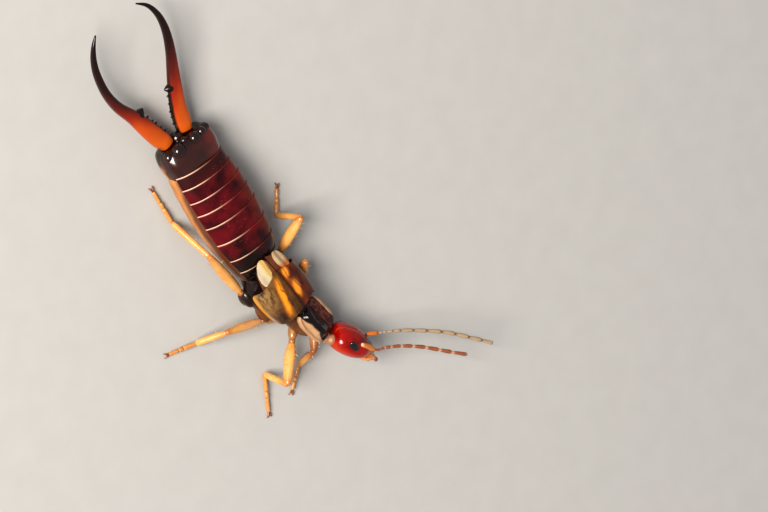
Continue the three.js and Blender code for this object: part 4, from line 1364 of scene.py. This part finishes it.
# %% Finish of the mouth parts
mouth = Finish("mouth_shell", Roughness=0.24, Coat_Weight=0.4)
cloud = mouth.noise(4.0, 3.0)
mouth.ground(cloud, (0.38, 0.10, 0.025), (0.68, 0.30, 0.10))
mouth.over(mouth.band(mouth.read("forward") + cloud * 0.2, 1.6, 1.8), (0.22, 0.035, 0.015))
mouth.relief(cloud, 0.01)
settle(jaws, mouth, "jaws", "jaws")

# %% [markdown]
# ## Feelers
# A feeler is a string of joints: a stout root joint, a few short ones, then long ones that thicken
# towards their tips. Rings pinch where two joints meet. The left feeler is pale with dark joint
# rims, and the right one is orange-brown with pale ones.

# %% Feelers
FEELER = {
    "left": [
        [3.16, -9.36, 1.93],
        [3.3, -9.42, 1.97],
        [3.81, -9.73, 2.0],
        [4.56, -10.18, 2.05],
        [5.54, -10.88, 2.1],
        [6.82, -11.95, 2.15],
        [7.99, -13.19, 2.2],
        [8.66, -13.95, 2.2],
    ],
    "right": [
        [2.35, -9.25, 2.6],
        [2.79, -9.77, 2.32],
        [3.22, -10.3, 2.05],
        [3.75, -10.56, 1.95],
        [4.55, -11.08, 1.9],
        [5.45, -11.81, 1.9],
        [6.37, -12.72, 1.9],
        [7.36, -13.69, 1.9],
    ],
}
# Share of the length where each joint ends, and the joint's radius
FEELER_JOINTS = {
    "left": [
        (0.085, 0.12),
        (0.12, 0.065),
        (0.15, 0.06),
        (0.2, 0.068),
        (0.256, 0.09),
        (0.357, 0.1),
        (0.465, 0.105),
        (0.58, 0.108),
        (0.69, 0.11),
        (0.8, 0.11),
        (0.907, 0.108),
        (1.0, 0.098),
    ],
    "right": [
        (0.17, 0.15),
        (0.205, 0.065),
        (0.24, 0.065),
        (0.285, 0.072),
        (0.34, 0.085),
        (0.43, 0.09),
        (0.53, 0.096),
        (0.64, 0.1),
        (0.755, 0.102),
        (0.865, 0.102),
        (1.0, 0.095),
    ],
}
# Share of a joint's length, share of its radius, and how near its rim
JOINT_PROFILE = [
    (0.0, 0.42, 1.0),
    (0.05, 0.64, 0.6),
    (0.16, 0.8, 0.0),
    (0.55, 0.96, 0.0),
    (0.85, 1.0, 0.0),
    (0.94, 0.88, 0.8),
    (0.99, 0.5, 1.0),
]
# Two skin colours, the root joint's and the rims'
FEELER_COLOURS = {
    "left": ((0.27, 0.18, 0.10), (0.46, 0.34, 0.22), (0.46, 0.13, 0.02), (0.05, 0.02, 0.012)),
    "right": ((0.20, 0.055, 0.02), (0.34, 0.115, 0.045), (0.62, 0.2, 0.035), (0.62, 0.42, 0.30)),
}
FEELER_SIDES = 18
FINE = 600

# %% Two strings of joints
for side in ("left", "right"):
    places, headings = curve_points(FEELER[side], FINE)
    rings, rims, roots = [], [], []
    start = 0.0
    for end, radius in FEELER_JOINTS[side]:
        for share, size, rim in JOINT_PROFILE:
            i = min(FINE, round((start + (end - start) * share) * FINE))
            rings.append((places[i], headings[i], radius * size, radius * size))
            rims.append(rim)
            roots.append(start + (end - start) * share)
        start = end
    rings[-1] = (*rings[-1][:2], 0.03, 0.03)
    feeler = grow("feeler_string_" + side, rings, FEELER_SIDES)
    last_ring = len(rings) - 1
    mark(feeler, "rim", lambda index, at: rims[min(index // FEELER_SIDES, last_ring)])
    mark(feeler, "along", lambda index, at: roots[min(index // FEELER_SIDES, last_ring)])
    smooth(feeler)

    down = Finish("feeler_skin_" + side, Roughness=0.5)
    thin, thick, root_colour, rim_colour = FEELER_COLOURS[side]
    down.ground(down.noise(5.0, 3.0), thin, thick)
    first = FEELER_JOINTS[side][0][0]
    down.over(down.band(down.read("along"), first + 0.03, first - 0.01), root_colour)
    down.over(down.read("rim") * 0.8, rim_colour)
    down.relief(down.noise(30.0, 2.0), 0.01)
    settle(feeler, down, "feeler", "feeler_" + side)

# %% [markdown]
# ## Legs
# A leg has a cone-shaped hip, a small ring joint, a stout thigh, a thin shin and a foot of three
# joints with two claws. All six are grown from one set of profiles between each leg's own joints.
# The shell is straw-amber and lets light in, so it gets a little light under its surface.

# %% Legs
# hip, knee, ankle and toe (both at one height on every leg), half width of the thigh
LEGS = {
    "front_left": ((1.62, -7.62, 0.92), (0.85, -8.72, 1.0), (0.15, -9.15), (-0.7, -10.0), 0.24),
    "front_right": ((0.12, -7.52, 0.98), (-1.48, -8.87, 1.5), (-1.66, -8.3), (-2.32, -10.09), 0.29),
    "middle_left": ((1.95, -5.55, 0.9), (2.25, -4.45, 1.78), (2.56, -5.4), (2.66, -6.65), 0.26),
    "middle_right": (
        (-0.72, -5.78, 0.92), (-2.97, -4.76, 1.45), (-4.03, -4.76), (-5.47, -4.36), 0.24
    ),
    "hind_left": ((1.66, -3.66, 0.95), (2.95, -2.38, 2.15), (2.82, -2.42), (3.62, -1.45), 0.28),
    "hind_right": ((-1.05, -3.98, 0.95), (-2.07, -0.95, 1.85), (-2.14, 0.84), (-2.14, 2.62), 0.28),
}
ANKLE_HEIGHT = 0.28
TOE_HEIGHT = 0.1
# Share of the length, share of the half width
HIP_PROFILE = ((0, 0.85), (0.3, 1.0), (0.6, 0.95), (0.85, 0.75), (1, 0.5))
RING_PROFILE = ((0, 0.6), (0.2, 0.9), (0.6, 1.0), (0.9, 0.85), (1, 0.7))
THIGH_PROFILE = (
    ((0, 0.5), (0.05, 0.68), (0.18, 0.9), (0.38, 1.02), (0.6, 0.97))
    + ((0.8, 0.8), (0.92, 0.66), (0.98, 0.55), (1, 0.35))
)
SHIN_PROFILE = (
    ((0, 0.45), (0.03, 0.75), (0.08, 0.9), (0.14, 0.82))
    + ((0.5, 1.0), (0.85, 1.0), (0.96, 0.9), (1, 0.6))
)
TOE_PROFILES = (
    ((0.0, 0.75), (0.04, 0.9), (0.3, 1.0), (0.42, 1.0), (0.46, 0.75)),
    ((0.455, 0.65), (0.49, 0.85), (0.56, 1.0), (0.61, 0.95), (0.64, 0.65)),
    ((0.63, 0.6), (0.68, 0.75), (0.8, 0.8), (0.95, 0.85), (1.0, 0.6)),
)
SHIN_HALF = 0.165
TOE_HALF = 0.115
HIP_HALF = {"front": 0.25, "middle": 0.28, "hind": 0.32}
LEG_SIDES = 24
CLAW_SPREAD = math.radians(26)

# %% Parts of a leg


def leg_points(name):
    """Hip, knee, ankle and toe of a leg as places."""
    hip, knee, ankle, toe, stout = LEGS[name]
    ankle, toe = (*ankle, ANKLE_HEIGHT), (*toe, TOE_HEIGHT)
    return [Vector(p) for p in (hip, knee, ankle, toe)]


def part_of_leg(start, end, profile, half, bow=0.0, flat=1.0):
    """One joint of a leg from start to end, bowed a little and flattened where asked."""
    way = end - start
    lift = way.cross(UP.cross(way)).normalized() * -1
    rings = []
    for t, size in profile:
        place = start.lerp(end, t) + lift * bow * 4 * t * (1 - t)
        rings.append((place, way, half * size * flat, half * size))
    return grow("part", rings, LEG_SIDES)


def claw(toe, way, turn):
    """A curved claw that leaves the toe to one side and points down at its tip."""
    side = Matrix.Rotation(turn, 3, "Z") @ way
    rows = [
        [*(toe - way * 0.05), 0.055, 0.055],
        [*(toe + side * 0.1 + UP * 0.03), 0.048, 0.05],
        [*(toe + side * 0.2 + UP * 0.01), 0.034, 0.036],
        [*(toe + side * 0.27 - UP * 0.06), 0.012, 0.012],
    ]
    return grow("claw", path_rings(rows, 8), 10)

# %% Finish of the legs
straw = Finish("leg_shell", Coat_Weight=0.2, Coat_Roughness=0.12, Subsurface_Weight=0.3)
straw.paint(Subsurface_Radius=(1.0, 0.45, 0.15), Subsurface_Scale=0.0003)
cloud = straw.noise(1.8, 4.0)
straw.ground(cloud, (0.48, 0.19, 0.04), (0.74, 0.41, 0.14))
# Pinker on the right thigh, darker at the knees and hips and in the shadow of the head
straw.over(straw.near((-1.4, -5.4, 1.1), 1.3) * 0.7, (0.62, 0.35, 0.19))
straw.over(straw.band(straw.read("knee"), 0.0, 1.0) * 0.75, (0.34, 0.095, 0.017))
straw.over(straw.read("hip"), (0.035, 0.009, 0.005))
shaded = straw.near((0.7, -8.6, 0.8), 1.9, (1, 1, 0.6))
shaded = shaded * straw.band(straw.axis(0) + straw.axis(1) * 0.35, -3.0, -2.4)
straw.over(shaded * 0.8, (0.13, 0.03, 0.008))
straw.relief(straw.noise(16.0, 3.0), 0.008)
straw.paint(Roughness=0.22 + cloud * 0.15)

# %% Six legs
HIP_DARK = {"hind_right": 1.0, "hind_left": 0.8, "front_right": 0.55, "front_left": 0.6}
for name in LEGS:
    hip, knee, ankle, toe = leg_points(name)
    way = (knee - hip).normalized()
    hip_half = HIP_HALF[name.split("_")[0]]
    cone = part_of_leg(hip - way * 0.75, hip + way * 0.05, HIP_PROFILE, hip_half)
    ring = part_of_leg(hip - way * 0.06, hip + way * 0.2, RING_PROFILE, 0.17)
    start, end = hip + way * 0.14, knee + way * 0.06
    thigh = part_of_leg(start, end, THIGH_PROFILE, LEGS[name][-1], 0.04, 0.92)
    dark = HIP_DARK.get(name, 0.4)
    mark(cone, "hip", lambda index, at: dark)
    mark(ring, "hip", lambda index, at: dark * 0.3)
    mark(ring, "knee", lambda index, at: 0.8)
    mark(thigh, "knee", lambda index, at: max(0.0, 1 - (at - knee).length / 0.45))
    upper = join([thigh, cone, ring], name + "_femur")
    smooth(upper)
    settle(upper, straw, "leg", name + "_thigh")

    down_way = (ankle - knee).normalized()
    shin = part_of_leg(knee - down_way * 0.05, ankle, SHIN_PROFILE, SHIN_HALF, 0.03)
    shin.name = name + "_tibia"
    mark(shin, "knee", lambda index, at: max(0.0, 1 - (at - knee).length / 0.3))
    smooth(shin)
    settle(shin, straw, "leg", name + "_shin")

    parts = []
    for profile in TOE_PROFILES:
        parts.append(part_of_leg(ankle, toe, profile, TOE_HALF))
        mark(parts[-1], "knee", lambda index, at: 0.5)
    level = Vector((toe.x - ankle.x, toe.y - ankle.y, 0)).normalized()
    for turn in (CLAW_SPREAD, -CLAW_SPREAD):
        parts.append(claw(toe, level, turn))
        mark(parts[-1], "knee", lambda index, at: 1.0)
        mark(parts[-1], "hip", lambda index, at: 0.6)
    foot = join(parts, name + "_tarsus")
    smooth(foot)
    settle(foot, straw, "leg", name + "_foot")

# %% [markdown]
# ## Bristles
# Short stiff bristles stand on the thighs, shins and feet, most on the front and middle pairs.
# Hair particles would be lost with the export, so one thin cone is modelled, and copies of its
# mesh are set along each leg in a seeded random pattern, then joined.

# %% Bristles
unselect()
bpy.ops.mesh.primitive_cone_add(
    vertices=5, radius1=0.014, radius2=0.002, depth=1.0, location=(0, 0, 0.5)
)
bristle = bpy.context.object
bpy.ops.object.mode_set(mode="EDIT")
bpy.ops.mesh.select_all(action="SELECT")
bpy.ops.mesh.subdivide(number_cuts=1)
bpy.ops.object.mode_set(mode="OBJECT")
bpy.ops.object.transform_apply(location=True, rotation=True, scale=True)

chance = random.Random(7)
BRISTLE_COUNT = {"front": 22, "middle": 20, "hind": 12}


def bristles_on(start, end, half, count, length):
    """Copies of the bristle stand on one limb part, leaning towards its end."""
    way = (end - start).normalized()
    side = UP.cross(way).normalized()
    above = way.cross(side)
    made = []
    for _ in range(count):
        share = chance.uniform(0.12, 0.95)
        angle = chance.uniform(-0.4, math.pi + 0.4)
        outwards = side * math.cos(angle) + above * math.sin(angle)
        lean = (outwards + way * chance.uniform(0.3, 0.9)).normalized()
        copy = bristle.copy()
        copy.data = bristle.data.copy()
        bpy.context.collection.objects.link(copy)
        copy.rotation_mode = "QUATERNION"
        copy.rotation_quaternion = lean.to_track_quat("Z", "Y")
        copy.location = start.lerp(end, share) + outwards * half * 0.86
        copy.scale = (1, 1, length * chance.uniform(0.7, 1.2))
        made.append(copy)
    return made


hair = Finish("bristle_horn", Roughness=0.4)
hair.ground(hair.noise(2.0), (0.45, 0.2, 0.06), (0.7, 0.42, 0.18))
for name in LEGS:
    hip, knee, ankle, toe = leg_points(name)
    count = BRISTLE_COUNT[name.split("_")[0]]
    tuft = bristles_on(hip, knee, LEGS[name][-1], count, 0.14)
    tuft += bristles_on(knee, ankle, SHIN_HALF, count, 0.1)
    tuft += bristles_on(ankle, toe, TOE_HALF, count // 2, 0.07)
    settle(join(tuft, name + "_bristles"), hair, "leg")
unselect()
bpy.data.objects.remove(bristle)
